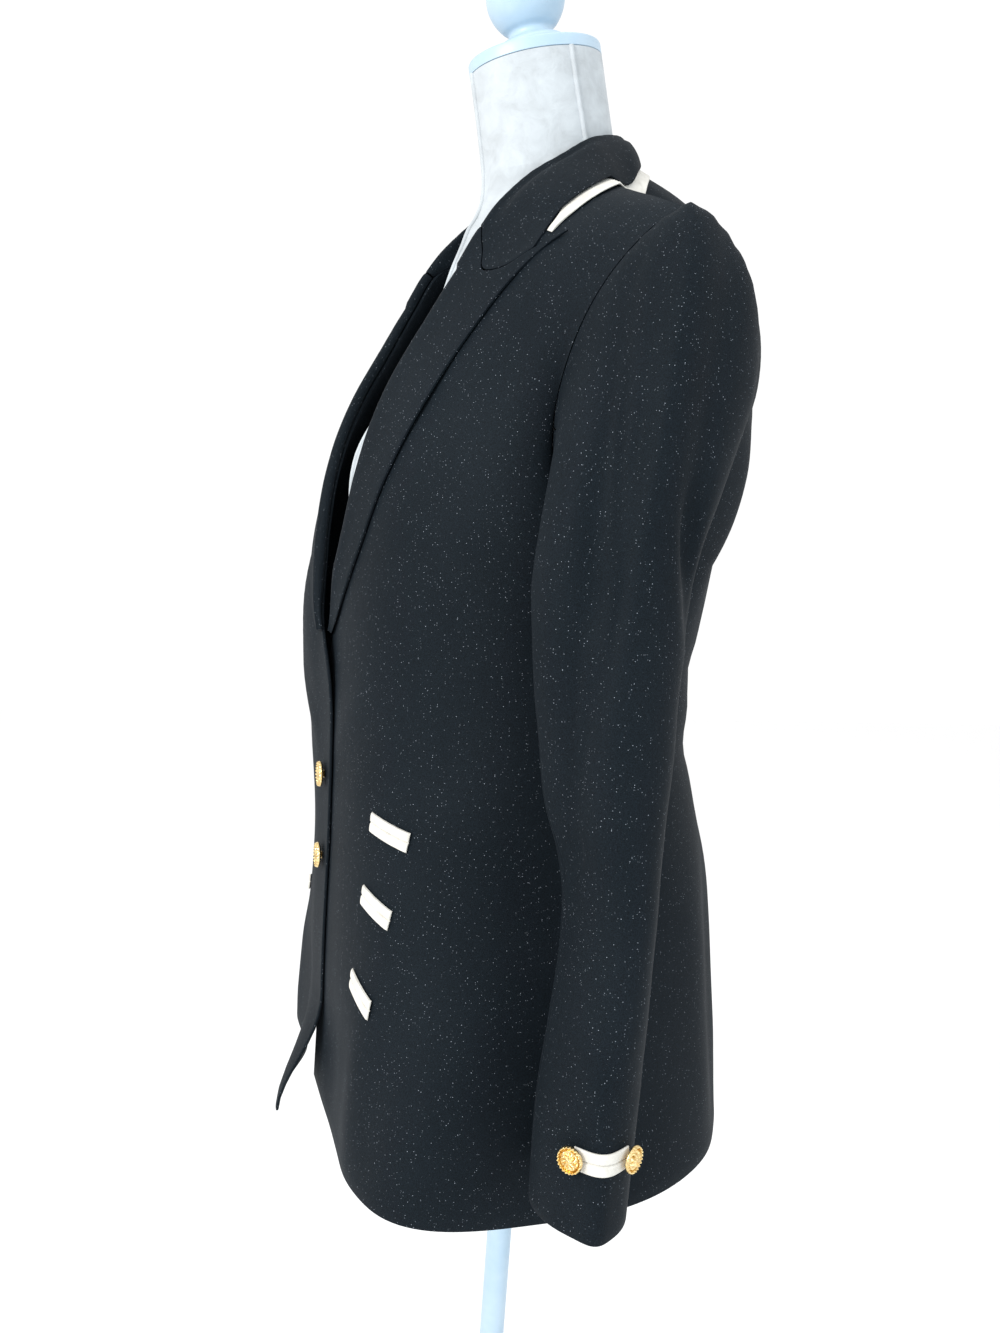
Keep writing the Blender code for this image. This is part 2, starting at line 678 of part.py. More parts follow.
def lapel_face(along, sunk):
    """Left lapel's sections at places along it, sunk below its outer face."""
    rolled, fallen = np.array(LAPEL_ROLL), np.array(LAPEL_FALL)
    section = []
    zero = np.zeros_like(along)
    start = lapel_outline(along, zero)
    end = lapel_outline(along, zero + 1)
    width = np.linalg.norm(end - start, axis=-1)
    across = (end - start) / width[..., None]
    size = np.clip(width / 0.022, 0.35, 1.0)
    sunk = sunk * size
    sunk_roll = ((0, -1), (1, -0.3), (1, 0.4), (0.3, 1))
    foot, normal = place_on_front(start[..., 0], start[..., 1])
    beyond = start + across * width[..., None] * fallen[0, 0]
    across = place_on_front(beyond[..., 0], beyond[..., 1])[0] - foot
    across /= np.linalg.norm(across, axis=-1, keepdims=True)
    for (distance, lift), (side, down) in zip(rolled, sunk_roll):
        aside = across * (size * distance + sunk * side)[..., None]
        section.append(foot + aside + normal * (lift * size - sunk * down)[..., None])
    for share, lift in fallen:
        place = lapel_outline(along, zero + share)
        foot, normal = place_on_front(place[..., 0], place[..., 1])
        lift = fallen[-1, 1] + (lift - fallen[-1, 1]) * size
        section.append(foot + normal * (lift - sunk)[..., None])
    return np.stack(section, 1)


def make_lapels(black):
    """Both lapels, each rolled back on its front."""
    along = spread(16, 0.0, LAPEL_END)
    outer = lapel_face(along, np.zeros_like(along))
    inner = lapel_face(along, np.full_like(along, CLOTH))
    add_shell("lapel_left", outer, inner, black)
    add_shell("lapel_right", on_right(outer), on_right(inner), black)


def collar_rows(along):
    """Roll edge, fall edge and band edge of the collar at places from the gorge to the back."""
    rows = np.array(COLLAR)
    mirror_row = rows[-2] * np.array((-1, 1, 1, -1, 1, -1, 1))
    steps = np.linalg.norm(np.diff(rows[:, :3], axis=0), axis=1)
    at = np.concatenate(([0.0], np.cumsum(steps))) / steps.sum()
    return np.moveaxis(curve(np.vstack((rows, mirror_row)), along, np.append(at, 2 - at[-2])), -1, 0)


def neckline(along):
    """Top edge of the front and the back from the roll line's top to the centre back."""
    front_neck = np.array(ROLL_LINE[6:])
    back_neck = np.array(BACK_TOP[:3])[::-1]
    mirror_row = back_neck[-2] * np.array((-1, 1, 1))
    rows = np.vstack((front_neck, back_neck, mirror_row))
    steps = np.linalg.norm(np.diff(rows, axis=0), axis=1)
    at = np.concatenate(([0.0], np.cumsum(steps))) / steps[:-1].sum()
    return points(curve(rows, along - NECKLINE_PULL * along * (1 - along), at))


def over_seam(foot):
    """How near a place is to the shoulder seam, from 0 to 1."""
    return np.exp(-((foot[..., 1] + SHOULDER_SEAM) / 0.018) ** 2)[..., None]


def collar_section(along):
    """Outer face of the folded collar: up the stand, over the roll and down the fall."""
    roll_x, roll_forward, roll_height, fall_x, fall_forward, _, _ = collar_rows(along)
    roll = point(roll_x, roll_forward, roll_height)
    foot, foot_normal = place_on_shoulder(fall_x, fall_forward)
    edge = foot + foot_normal * (FALL_LIFT + BAND_SEAM_LIFT * over_seam(foot))
    neck = neckline(along)
    up = np.array((0.0, 0.0, 1.0))
    away = edge - neck
    away[..., 2] = 0
    away /= np.linalg.norm(away, axis=-1, keepdims=True)
    inward = point(0.0, 0.020, 0.0) - neck
    inward[..., 2] = 0
    inward /= np.linalg.norm(inward, axis=-1, keepdims=True)
    stand_foot = neck + inward * STAND_CLEAR + up * 0.0012
    fall = edge - roll
    middle = roll + fall * 0.5
    bulge = foot_normal * 0.0035
    inner_shoulder = roll - away * 0.0030 - up * 0.0030
    outer_shoulder = roll + away * 0.0040 - up * 0.0028
    stand_middle = (stand_foot + inner_shoulder) / 2 - away * 0.0005
    return np.stack((stand_foot, stand_middle, inner_shoulder, roll, outer_shoulder,
                     roll + fall * 0.27 + bulge * 0.8, middle + bulge,
                     roll + fall * 0.77 + bulge * 0.7, edge), 1)


def make_collar(black, white):
    """Collar folded over its stand, and the contrast band under the fall's edge."""
    half = spread(19)
    section = collar_section(half)
    near = (1 - ease(half, 0.0, 0.22))[:, None, None]
    gorge = np.array([COLLAR_START])
    outer = section + near * (lapel_face(gorge, np.array([0.0]))[0, :COLLAR_POINTS] - section[0])
    outer[-1, :, 0] = 0.0
    inner = outer - grid_normals(outer, (1, 0.3, 0.6)) * CLOTH
    inner = inner + near ** 2 * (lapel_face(gorge, np.array([CLOTH]))[0, :COLLAR_POINTS] - inner[0])
    inner[-1, :, 0] = 0.0
    add_shell("collar", np.concatenate((outer, mirrored(outer[-2::-1]))),
              np.concatenate((inner, mirrored(inner[-2::-1]))), black)

    _, _, _, fall_x, fall_forward, band_x, band_forward = collar_rows(half)
    strip = []
    band_x, band_forward = band_x - fall_x, band_forward - fall_forward
    fall_x, fall_forward = outer[:, -1, 0], -outer[:, -1, 1]
    tucked = BAND_TUCK - ease(half, 0.12, 0.36)
    for step in (0.0, 0.33, 0.67, 1.0):
        share = tucked + step * (1 - tucked)
        strip.append(place_on_shoulder(fall_x + share * band_x, fall_forward + share * band_forward))
    foot = np.stack([place for place, _ in strip], 1)[BAND_START:]
    normal = np.stack([direction for _, direction in strip], 1)[BAND_START:]
    for _ in range(3):
        normal[1:-1] = (normal[:-2] + 2 * normal[1:-1] + normal[2:]) / 4
    lower = foot + normal * (BAND_LIFT + BAND_SEAM_LIFT * over_seam(foot))
    upper = lower + normal * TRIM_CLOTH
    add_shell("collar_band", np.concatenate((upper, mirrored(upper[-2::-1]))),
              np.concatenate((lower, mirrored(lower[-2::-1]))), white)


def make_welts(white):
    """Double-lip welts: each a folded strip with a groove between its lips."""
    across = np.array((0.0, 0.42, 0.50, 0.58, 1.0))
    swell = np.array((0.0, 0.0004, -0.0008, 0.0004, 0.0))
    for number, (front_height, side_height) in enumerate(WELTS, 1):
        along, down = np.meshgrid(spread(7), across, indexing="ij")
        sideways = WELT_START + along * (WELT_END - WELT_START)
        height = front_height + along * (side_height - front_height) - down * WELT_HEIGHT
        foot, normal = place_on_front(sideways, height)
        lower = foot + normal * TRIM_LIFT
        upper = lower + normal * (TRIM_CLOTH + swell)[:, None]
        add_shell(f"welt_left_{number}", upper, lower, white)
        add_shell(f"welt_right_{number}", on_right(upper), on_right(lower), white)


def add_button(name, seat, axis, radius, made_of):
    """Turned button with a shank, standing on the cloth at seat."""
    axis = axis / np.linalg.norm(axis)
    side = np.cross(axis, (0.0, 0.0, 1.0))
    side /= np.linalg.norm(side)
    upright = np.cross(side, axis)
    turn = spread(17)[:-1, None] * 2 * np.pi
    rim = np.cos(turn) * side + np.sin(turn) * upright
    rings = [seat + axis * (SEAM + share * BUTTON_THICKNESS) + rim * radius * width
             for width, share in BUTTON_PROFILE]
    add_loft(name, rings, made_of)


def make_front_buttons(gold):
    """Two buttons on the right front at the centre line."""
    for name, height in zip(("button_upper", "button_lower"), BUTTON_HEIGHTS):
        foot, normal = place_on_front(np.array([0.0]), np.array([height]))
        seat = on_right(foot)
        add_button(name, seat[0], normal[0] * (-1, 1, 1), BUTTON_RADIUS, gold)


def make_cuff_trim(gold, white):
    """White tab round the outer side of each cuff, with a button at both of its ends."""
    front_place, back_place = CUFF_BUTTON_PLACES
    level = 1 + (SLEEVE_TOP_RING - TAB_HEIGHT) / (SLEEVE_TOP_RING - CUFF)
    half_level = WELT_HEIGHT / 2 / (SLEEVE_TOP_RING - CUFF)
    across = np.array((-1.0, -0.16, 0.0, 0.16, 1.0))
    swell = np.array((0.0, 0.0004, -0.0008, 0.0004, 0.0))
    around, up = np.meshgrid(spread(13, back_place, front_place), across, indexing="ij")
    foot = sleeve(around % 1.0, level + up * half_level)
    normal = sleeve_normals(around, level + up * half_level)
    lower = foot + normal * SEAM
    upper = lower + normal * (TRIM_CLOTH + swell)[:, None]
    add_shell("cuff_tab_left", upper, lower, white)
    add_shell("cuff_tab_right", mirrored(upper), mirrored(lower), white)
    for end, place in (("front", front_place), ("back", back_place)):
        around, up = np.array([place]), np.array([level])
        normal = sleeve_normals(around, up)[0]
        seat = sleeve(around % 1.0, up)[0] + normal * (TRIM_CLOTH + 2 * SEAM)
        add_button(f"cuff_button_{end}_left", seat, normal, CUFF_BUTTON_RADIUS, gold)
        add_button(f"cuff_button_{end}_right", mirrored(seat), mirrored(normal), CUFF_BUTTON_RADIUS, gold)


def form_ring(height, raised=0.0, sides=32):
    """Closed section of the dress form at a height, raised square to its own slope."""
    *sizes, slope = columns(FORM, np.array(height))
    half_width, widest, front_depth, back_depth, front_power, back_power = sizes
    angle = spread(sides + 1)[:-1] * 2 * np.pi
    ahead = np.cos(angle) >= 0
    depth = np.where(ahead, front_depth - widest, back_depth + widest)
    power = np.where(ahead, front_power, back_power)
    across = np.abs(np.sin(angle)) / half_width
    along = np.abs(np.cos(angle)) / depth
    radius = (across ** power + along ** power) ** (-1 / power)
    forward = radius * np.cos(angle)
    leaning = slope * raised
    return point(radius * np.sin(angle), widest + leaning + forward, height + raised - slope * forward)


def make_form(velvet, painted):
    """Limbless dress form: torso and neck, cap, finial, pole and base."""
    heights = [row[0] for row in FORM]
    rows = np.concatenate([spread(3, low, high)[:-1] if high - low > 0.035 else [low]
                           for low, high in zip(heights, heights[1:])] + [heights[-1:]])
    add_loft("form_torso", [form_ring(height) for height in rows], velvet)

    neck_top = heights[-1]
    cap_rings = [form_ring(neck_top, SEAM + share * NECK_CAP) for share in (0.0, 1.0)]
    add_loft("neck_cap", cap_rings, painted)

    slope = FORM[-1][-1]
    foot_raise = NECK_CAP + 2 * SEAM
    foot = point(0.0, FORM[-1][2] + slope * foot_raise, neck_top + foot_raise)
    axis = np.array((0.0, -slope, 1.0))
    axis /= np.linalg.norm(axis)
    side = np.array((1.0, 0.0, 0.0))
    ahead = np.cross(axis, side)
    turn = spread(25)[:-1, None] * 2 * np.pi
    rings = []
    for radius, reach in FINIAL:
        rings.append(foot + axis * reach + radius * (np.cos(turn) * side + np.sin(turn) * ahead))
    add_loft("finial", rings, painted)

    turn = turn[:, 0]
    pole = ((POLE_RADIUS, BASE[-1][1] + SEAM), (POLE_RADIUS, HEM + heights[0] - SEAM))
    for name, profile in (("pole", pole), ("base", BASE)):
        rings = [np.stack((radius * np.cos(turn), radius * np.sin(turn) - POLE_FORWARD,
                           np.full_like(turn, height)), -1) for radius, height in profile]
        add_loft(name, rings, painted)


def main():
    """Build the blazer and its form."""
    for existing in list(bpy.data.objects):
        bpy.data.objects.remove(existing)
    black = material("black crepe", (0.016, 0.016, 0.018), 0.85)
    white = material("white trim", (0.80, 0.78, 0.74), 0.7)
    gold = material("gold", (0.83, 0.66, 0.30), 0.3, 1.0)
    velvet = material("cream velvet", (0.72, 0.68, 0.60), 0.75)
    painted = material("white paint", (0.85, 0.84, 0.82), 0.4)
    make_fronts(black)
    make_backs(black)
    make_sleeves(black)
    make_lapels(black)
    make_collar(black, white)
    make_welts(white)
    make_front_buttons(gold)
    make_cuff_trim(gold, white)
    make_form(velvet, painted)


main()
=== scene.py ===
import bmesh
import bpy
import numpy as np
from mathutils import Matrix, Vector


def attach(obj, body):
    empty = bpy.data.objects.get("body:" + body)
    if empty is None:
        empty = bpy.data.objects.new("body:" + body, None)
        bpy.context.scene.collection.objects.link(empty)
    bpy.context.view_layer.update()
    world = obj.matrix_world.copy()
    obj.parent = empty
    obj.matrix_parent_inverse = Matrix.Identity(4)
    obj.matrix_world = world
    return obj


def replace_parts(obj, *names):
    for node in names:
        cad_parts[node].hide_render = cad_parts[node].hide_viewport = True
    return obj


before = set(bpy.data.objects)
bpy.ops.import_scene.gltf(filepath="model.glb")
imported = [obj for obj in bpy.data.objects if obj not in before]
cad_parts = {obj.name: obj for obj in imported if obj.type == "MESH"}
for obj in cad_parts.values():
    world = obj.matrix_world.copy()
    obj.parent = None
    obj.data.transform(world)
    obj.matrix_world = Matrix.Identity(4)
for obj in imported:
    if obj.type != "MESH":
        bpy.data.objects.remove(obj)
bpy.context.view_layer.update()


def metres(*rows, of=slice(None)):
    """Table in metres of one that has its lengths, all columns or those given, in millimetres."""
    table = np.array(rows, float)
    table[:, of] = np.round(table[:, of] / 1000, 7)
    return table


# Driving sizes
HEM = 0.78
CLOTH = 0.002
SEAM = 0.0003
SHOULDER_SEAM = 0.006
SHOULDER_TOP = 0.56
OVERLAP = 0.018
UNDERARM = 0.42
CUFF = 0.04
SLEEVE_TOP_RING = 0.4
ARM_LENGTH = SLEEVE_TOP_RING - CUFF
CHEST_TO_SHOULDER = 0.24
BUTTON_RADIUS = 0.0095
CUFF_BUTTON_RADIUS = 0.008
HEM_CORNER = 0.008
HEM_CORNER_ANGLE = np.radians(52)
HEM_CORNER_SPREAD = np.radians(13)
WELT_HEIGHT = 0.013
TRIM_CLOTH = 0.0012
TRIM_LIFT = 0.0006
TRIM_TURN = 0.0003
BAND_LIFT = 0.0009
BAND_SEAM_LIFT = 0.0008
LAP_LIFT = 0.0008
BREAK_HEIGHT = 0.345
BREAK_LIFT = 1.4
CHEST_STAND_OFF = 0.0205
CORNER_SWING = 0.03
CORNER_DROP = 0.007
POLE_RADIUS = 0.01
POLE_FORWARD = 0.001

# Body sections: height, half width, forward place of the widest point, depth at the
# centre front, depth at the centre back, squareness of the front and of the back
BODY = metres(
    (0, 197, 30, 159, 153, 4, 2.1), (50, 190, 30, 159, 147, 3.8, 2.1),
    (100, 183, 30, 160.5, 141, 3.4, 2.1), (150, 176, 28, 161, 135, 3.1, 2.1),
    (200, 168, 26, 161, 127, 2.9, 2.1), (250, 161, 23, 162, 112, 2.8, 2.1),
    (300, 156, 20, 163, 99, 2.75, 2.1), (340, 157, 18, 164, 99, 2.7, 2.1),
    (380, 161, 13, 163.5, 101, 2.7, 2.15), (420, 167, 8, 160, 104, 2.65, 2.2), of=slice(5))

# Front edge below the underarm level: height, distance beyond the centre line
FRONT_EDGE = metres(
    (0, -18), (200, -18), (300, -18), (330, -16), (360, 6), (390, 18), (420, 29))

# Roll line and neckline of a front above the underarm level: sideways, forward, height
ROLL_LINE = metres(
    (29, 157.5, 420), (42, 153.5, 467), (50, 147, 497), (58, 136.5, 527), (66, 120.5, 560),
    (72, 101, 600), (73.5, 86, 628), (76, 60, 648), (75.5, 30, 665), (71, 6, 673))

# Armhole from the underarm up to the shoulder point: sideways, forward, height
FRONT_ARMHOLE = metres(
    (167, 8, 420), (165, 38, 434), (161, 58, 462), (161, 64, 500), (165, 59, 540), (171, 47, 575),
    (179, 31, 602), (187, 17, 618), (195, 6, 626))
BACK_ARMHOLE = metres(
    (167, 8, 420), (170, -18, 436), (174, -35, 465), (177, -42, 500), (180, -42, 540), (184, -34, 575),
    (188, -21, 603), (192, -6, 619), (195, 6, 626))

# Centre back seam above the underarm level, and the back's top edge from the centre
# back neck over the neck point to the shoulder point
CENTRE_BACK = metres(
    (0, -104, 420), (0, -114, 465), (0, -134, 510), (0, -153, 555), (0, -152, 600), (0, -124, 650),
    (0, -76, 684), (0, -38, 698.5))
BACK_TOP = metres(
    (0, -38, 698.5), (28, -33, 697), (52, -16, 688), (71, 6, 673), (113, 6, 656.5), (156, 6, 641),
    (195, 6, 626))

# Directions in which a front and a back run over the shoulder
FRONT_OVER_SHOULDER = (0.0, 0.15, 0.02)
BACK_OVER_SHOULDER = (0.0, -0.15, 0.026)

# Lapel from the break up: a point on the roll line and its point on the outer edge,
# each as sideways and height
LAPEL = metres(
    (0, 353, 5, 351), (7, 362, 15, 358), (18, 390, 36, 382), (29, 420, 54, 410), (39, 455, 72, 443),
    (49, 492, 90, 480), (58, 527, 104, 518), (66, 560, 113, 556), (72, 600, 123, 596),
    (74, 627, 134, 620))
# Gorge seam from the roll line to the lapel's point: sideways, height
GORGE = metres(
    (74, 627), (87, 609), (101, 593), (110, 598), (121, 607), (134, 620))
LAPEL_END = 0.994
COLLAR_START = 0.998
# Section of a lapel from the panel's edge over the roll to the outer edge: share of the
# width and height above the panel, with the roll's own distances first
LAPEL_ROLL = metres(
    (-1.2, 0), (-4.2, 2.2), (-4.2, 6), (-1, 8.2))
LAPEL_FALL = metres(
    (0.1, 7.8), (0.24, 6.6), (0.4, 5.4), (0.6, 4.3), (0.8, 3.4), (1, 2.8), of=[1])
COLLAR_POINTS = 9

# Sleeve sections from the upper arm to the cuff: height, centre sideways and forward,
# half size sideways and fore and aft, squareness, turn of the fold's ridge in degrees,
# depth of the fold beside it, height of the ridge
SLEEVE = metres(
    (400, 213, 40, 44, 45.5, 2.2, 14, 12, 0), (375, 215.5, 40.5, 44, 43.2, 2.2, 18, 13, 0),
    (340, 218, 40.3, 44, 39.9, 2.2, 22, 13, 0), (316, 220, 38.8, 43.5, 37.7, 2.2, 28, 12, 0),
    (275, 223, 37.2, 43, 32.7, 2.2, 38, 10, 0), (247, 225.5, 33.8, 42.5, 27.2, 2.1, 51, 6, 0),
    (220, 228, 32, 42, 24, 2.1, 60, 2, 0), (195, 230, 32.5, 41, 24, 2, 60, 0, 1),
    (148, 232, 35, 40, 26.2, 2, 40, 0, 2), (107, 233.5, 38, 39, 28.8, 1.9, 15, 0, 3),
    (40, 236, 40, 39, 28.5, 1.8, 12, 0, 4), of=[0, 1, 2, 3, 4, 7, 8])

CREASE_DEPTH = 0.005
CREASE_PLACE = -0.04
CREASE_TURN = 0.125
CREASE_WIDTH = 0.03
ARMHOLE_EASE = 0.0006
ARMHOLE_CENTRE = (0.172, 0.004, 0.53)
# Directions in which the sleeve head leaves the armhole, with what the top and the rear add,
# and in which it arrives at the upper arm
HEAD_LEAVING = (0.42, 0, 0)
HEAD_LIFT = (0.1, 0, 0.19)
HEAD_REAR = (0, 0.66, 0.16)
HEAD_ARRIVING = (0, 0, -1.1)

# Height of each front welt's upper edge at its front end and at its side end
WELTS = metres(
    (243.5, 237.5), (194, 186), (136, 126))
WELT_START = 0.1
WELT_END = 0.131

# Buttons: heights of the two on the right front, and places around the sleeve of the two
# at each cuff
BUTTON_HEIGHTS = (0.246, 0.184)
CUFF_BUTTON_PLACES = (0.105, -0.066)
TAB_HEIGHT = 0.0875
TAB_LEVEL = 1 + (SLEEVE_TOP_RING - TAB_HEIGHT) / ARM_LENGTH
BUTTON_THICKNESS = 0.0055

# Finial on the neck cap: radius and distance along its axis
FINIAL = metres(
    (19, 0), (24.8, 2), (25.8, 5.5), (22.5, 8.5), (16.5, 11), (16, 14), (20, 18), (25, 25), (27.8, 33),
    (28, 40), (25.5, 50), (19.5, 59), (10, 64.5))
NECK_CAP = 0.0085

# Round base: radius and height above the floor
BASE_PROFILE = metres(
    (160, 0), (163.5, 0.8), (165, 3), (165, 10), (164, 13), (160, 15), (110, 17.2), (60, 19), (30, 20),
    (22, 21), (20, 22))
BASE_TOP = BASE_PROFILE[-1][1]

# Collar from the gorge to the centre back: roll edge as sideways, forward and height,
# then the fall's outer edge and the band's outer edge as sideways and forward
COLLAR = metres(
    (73.5, 93, 628.5, 117, 66, 119, 64), (70, 82, 646.5, 113, 56, 119, 54),
    (64, 60, 671, 108, 42, 117, 39), (57, 35, 690, 99, 24, 108, 18), (51.5, 12.5, 706, 82, 6, 88, -1),
    (39, -9, 715, 59, -18, 62, -23), (20, -23, 720.5, 32, -33, 33.5, -38.5),
    (0, -28, 722, 0, -42, 0, -48))
STAND_CLEAR = 0.0045
FALL_LIFT = 0.0046
NECKLINE_PULL = 0.6
BAND_TUCK = 0.2

# Dress form sections with the columns of the body sections, then the section's slope: its
# rise towards the back for each metre
FORM = metres(
    (30, 60, 10, 60, 40, 2, 2, 0), (34, 140, 10, 118, 96, 2.2, 2.1, 0),
    (45, 152, 10, 128, 108, 2.3, 2.1, 0), (62, 156, 10, 131, 111, 2.3, 2.1, 0),
    (120, 158, 12, 132, 112, 2.3, 2.1, 0), (200, 146, 14, 126, 102, 2.3, 2.1, 0),
    (290, 122, 16, 112, 78, 2.2, 2.1, 0), (350, 132, 14, 124, 80, 2.2, 2.1, 0),
    (400, 143, 12, 146, 86, 2.1, 2.1, 0), (440, 148, 8, 155.5, 94, 1.9, 2.1, 0),
    (480, 150, 2, 153.5, 104, 1.8, 2, 0), (520, 154, -4, 134, 114, 1.8, 1.9, 0),
    (560, 160, -4, 112, 122, 1.8, 1.6, 0), (595, 162, 1, 98, 120, 1.7, 1.32, 0),
    (620, 157, 5, 90.5, 108, 1.35, 1.15, 0), (635, 146, 7, 85, 88, 1.22, 1.08, 0),
    (647, 127, 8, 81, 70, 1.12, 1.06, 0), (655, 107, 9, 77, 55, 1.06, 1.08, 0.01),
    (668, 57, 14, 73, 41, 1.5, 1.7, 0.05), (690, 46.5, 20, 72.5, 28, 2, 2, 0.12),
    (720, 44, 28, 77, 19.5, 2, 2, 0.2), (764, 43, 39, 86, 8, 2, 2, 0.255), of=slice(5))

# Points of the fine surfaces: across, then below and above the ring between their two parts
FRONT_CUT = (73, 46, 46)
BACK_CUT = (57, 46, 46)
SLEEVE_CUT = (66, 42, 62)
UNDER_CUT = (46, 42, 62)
SIDE_GAP = 0.001
FRONT_SLEEVE_SEAM = 0.3
BACK_SLEEVE_SEAM = 0.8
SLEEVE_SEAM_GAP = 0.0012

# Soft folds of the fronts and the backs, seen square to the panel: start and end as sideways
# and height, then the fold's half width and its height, negative for a trough
FRONT_FOLDS = metres(
    (118, 530, 124, 430, 22, -3), (146, 400, 139, 235, 13, -2.6), (143, 590, 147, 500, 8, -1.6),
    (157, 300, 168, 160, 14, -3), (158, 385, 160, 240, 12, 1.6), (20, 262, 88, 330, 12, 1.1),
    (20, 250, 100, 292, 14, -1), (176, 150, 182, 10, 14, 2.6), (150, 150, 152, 0, 18, -2.6),
    (122, 105, 120, 0, 18, 2.2), (60, 100, 52, 0, 24, -1.6), (100, 618, 158, 590, 14, 1.2))
BACK_FOLDS = metres(
    (146, 520, 140, 380, 16, 3.4), (122, 500, 118, 400, 15, -2.6), (18, 336, 130, 352, 10, -1.8),
    (20, 306, 136, 318, 12, 1.8), (30, 280, 120, 286, 11, -1.3), (48, 230, 70, 0, 22, 4),
    (92, 220, 112, 0, 20, -3.2), (132, 200, 148, 0, 18, 3), (50, 655, 120, 625, 16, 1.2))
# Soft folds of a sleeve: start and end as place around and height, half width, height;
# heights over the top ring run on up the head
SLEEVE_FOLDS = metres(
    (0.175, 262, 0.29, 232, 10, -2), (0.16, 236, 0.285, 214, 9, 1.4), (0.19, 212, 0.3, 196, 9, -1.5),
    (-0.3, 300, -0.18, 268, 12, -1.6), (-0.31, 258, -0.2, 240, 11, 1.2),
    (-0.44, 380, -0.36, 330, 14, -2.2), (0.44, 385, 0.48, 300, 14, 1.8), (0.06, 140, 0.15, 100, 14, 1),
    (-0.12, 120, -0.04, 150, 16, -1), (0.097, 600, 0.104, 460, 7, -4.4), (0.104, 480, 0.082, 350, 9, -5),
    (0.046, 560, 0.047, 450, 7, -3.8), (0.046, 480, 0.06, 380, 9, -4.8), (0.072, 560, 0.066, 420, 7, 1.6),
    (0.005, 560, 0.01, 400, 12, 1.6), (0.165, 540, 0.175, 420, 12, 1.4),
    (-0.068, 460, -0.165, 380, 9, -4), (-0.15, 540, -0.17, 440, 12, 1.8), of=[1, 3, 4, 5])
SLEEVE_GIRTH = 0.26
SLEEVE_HEAD = 0.22
CAP_RIPPLES = 0.0005
# Piping of the dress form: radius, and places in degrees from the centre front
PIPING = 0.0019
PIPING_PLACES = (0, 104, 180, 256)

BEADS = 22
PETALS = 8

# Floor, strength of the white surround, and lights: name, place, size, power and colour
FLOOR_HALF = 6.0
SURROUND = 1.04
LIGHT_TARGET = (0.0, 0.0, 1.15)
LIGHTS = (
    ("key", (1.2, -2.1, 2.1), 0.8, 50, (0.97, 0.99, 1.0)),
    ("side", (2.2, 0.9, 1.7), 1.2, 14, (0.66, 0.86, 1.0)),
    ("top", (0.2, 0.2, 3.0), 1.2, 4, (1, 1, 1)),
)
# Camera: turn, downward pitch and roll in degrees; distance, height over the hem and shift
CAMERA_ANGLES = (72.0, 7.0, 4.0)
CAMERA_PLACE = (0.85, 0.433, -0.033)
SENSOR = 36
LENS = SENSOR * 1100 / 1333


def point(sideways, forward, height):
    """World position from a garment position."""
    return np.stack(np.broadcast_arrays(sideways, -forward, HEM + height), -1)


def points(rows):
    """World positions from table rows of sideways, forward and height."""
    return np.array([point(*row) for row in rows])


def run(rows, beyond=0):
    """Share of the run of the rows up to each of them, rows beyond its end not counted."""
    steps = lengths(np.diff(rows, axis=0))
    return np.concatenate(([0.0], np.cumsum(steps))) / steps[:len(steps) - beyond].sum()


def curve(rows, where, at=None):
    """Smooth curve through the rows; without its own column it runs from 0 to 1."""
    rows = np.array(rows, float)
    if at is None:
        at = run(rows)
    slopes = np.gradient(rows, at, axis=0)
    where = np.clip(where, at[0], at[-1])
    cell = np.clip(np.searchsorted(at, where, side="right") - 1, 0, len(at) - 2)
    width = (at[cell + 1] - at[cell])[..., None]
    share = (where - at[cell])[..., None] / width
    return hermite(share, rows[cell], slopes[cell] * width, rows[cell + 1], slopes[cell + 1] * width)


def columns(table, where):
    """Each column of a table at the values of its first column given by where."""
    table = table[np.argsort(table[:, 0])]
    return np.moveaxis(curve(table[:, 1:], where, table[:, 0]), -1, 0)


def hermite(share, start, leaving, end, arriving):
    """Cubic from start to end with the given tangents."""
    square, cube = share ** 2, share ** 3
    return ((2 * cube - 3 * square + 1) * start + (cube - 2 * square + share) * leaving
            + (3 * square - 2 * cube) * end + (cube - square) * arriving)


def ease(value, low, high):
    """Smooth step from 0 at low to 1 at high."""
    share = np.clip((value - low) / (high - low), 0, 1)
    return share * share * (3 - 2 * share)


def lengths(vectors):
    """Length of each vector."""
    return np.linalg.norm(vectors, axis=-1)


def unit(vectors, flat=None):
    """Vectors of length one, after one axis is flattened if it is given."""
    if flat is not None:
        vectors = vectors.copy()
        vectors[..., flat] = 0
    return vectors / lengths(vectors)[..., None]


def bell(value, centre, half_width):
    """Bell curve of height one."""
    return np.exp(-((value - centre) / half_width) ** 2)


def section_radius(angle, half_width, widest, front_depth, back_depth, front_power, back_power):
    """Radius of a section whose front and back have their own depth and squareness."""
    ahead = np.cos(angle) >= 0
    depth = np.where(ahead, front_depth - widest, back_depth + widest)
    power = np.where(ahead, front_power, back_power)
    across = np.abs(np.sin(angle)) / half_width
    along = np.abs(np.cos(angle)) / depth
    return (across ** power + along ** power) ** (-1 / power)


def body(angle, height):
    """Outer surface of the body at an angle from the centre front round to the back."""
    sizes = columns(BODY, height)
    corner = bell(angle, HEM_CORNER_ANGLE, HEM_CORNER_SPREAD)
    radius = section_radius(angle, *sizes) + HEM_CORNER * corner * (1 - ease(height, 0, 0.28))
    return point(radius * np.sin(angle), sizes[1] + radius * np.cos(angle), height)


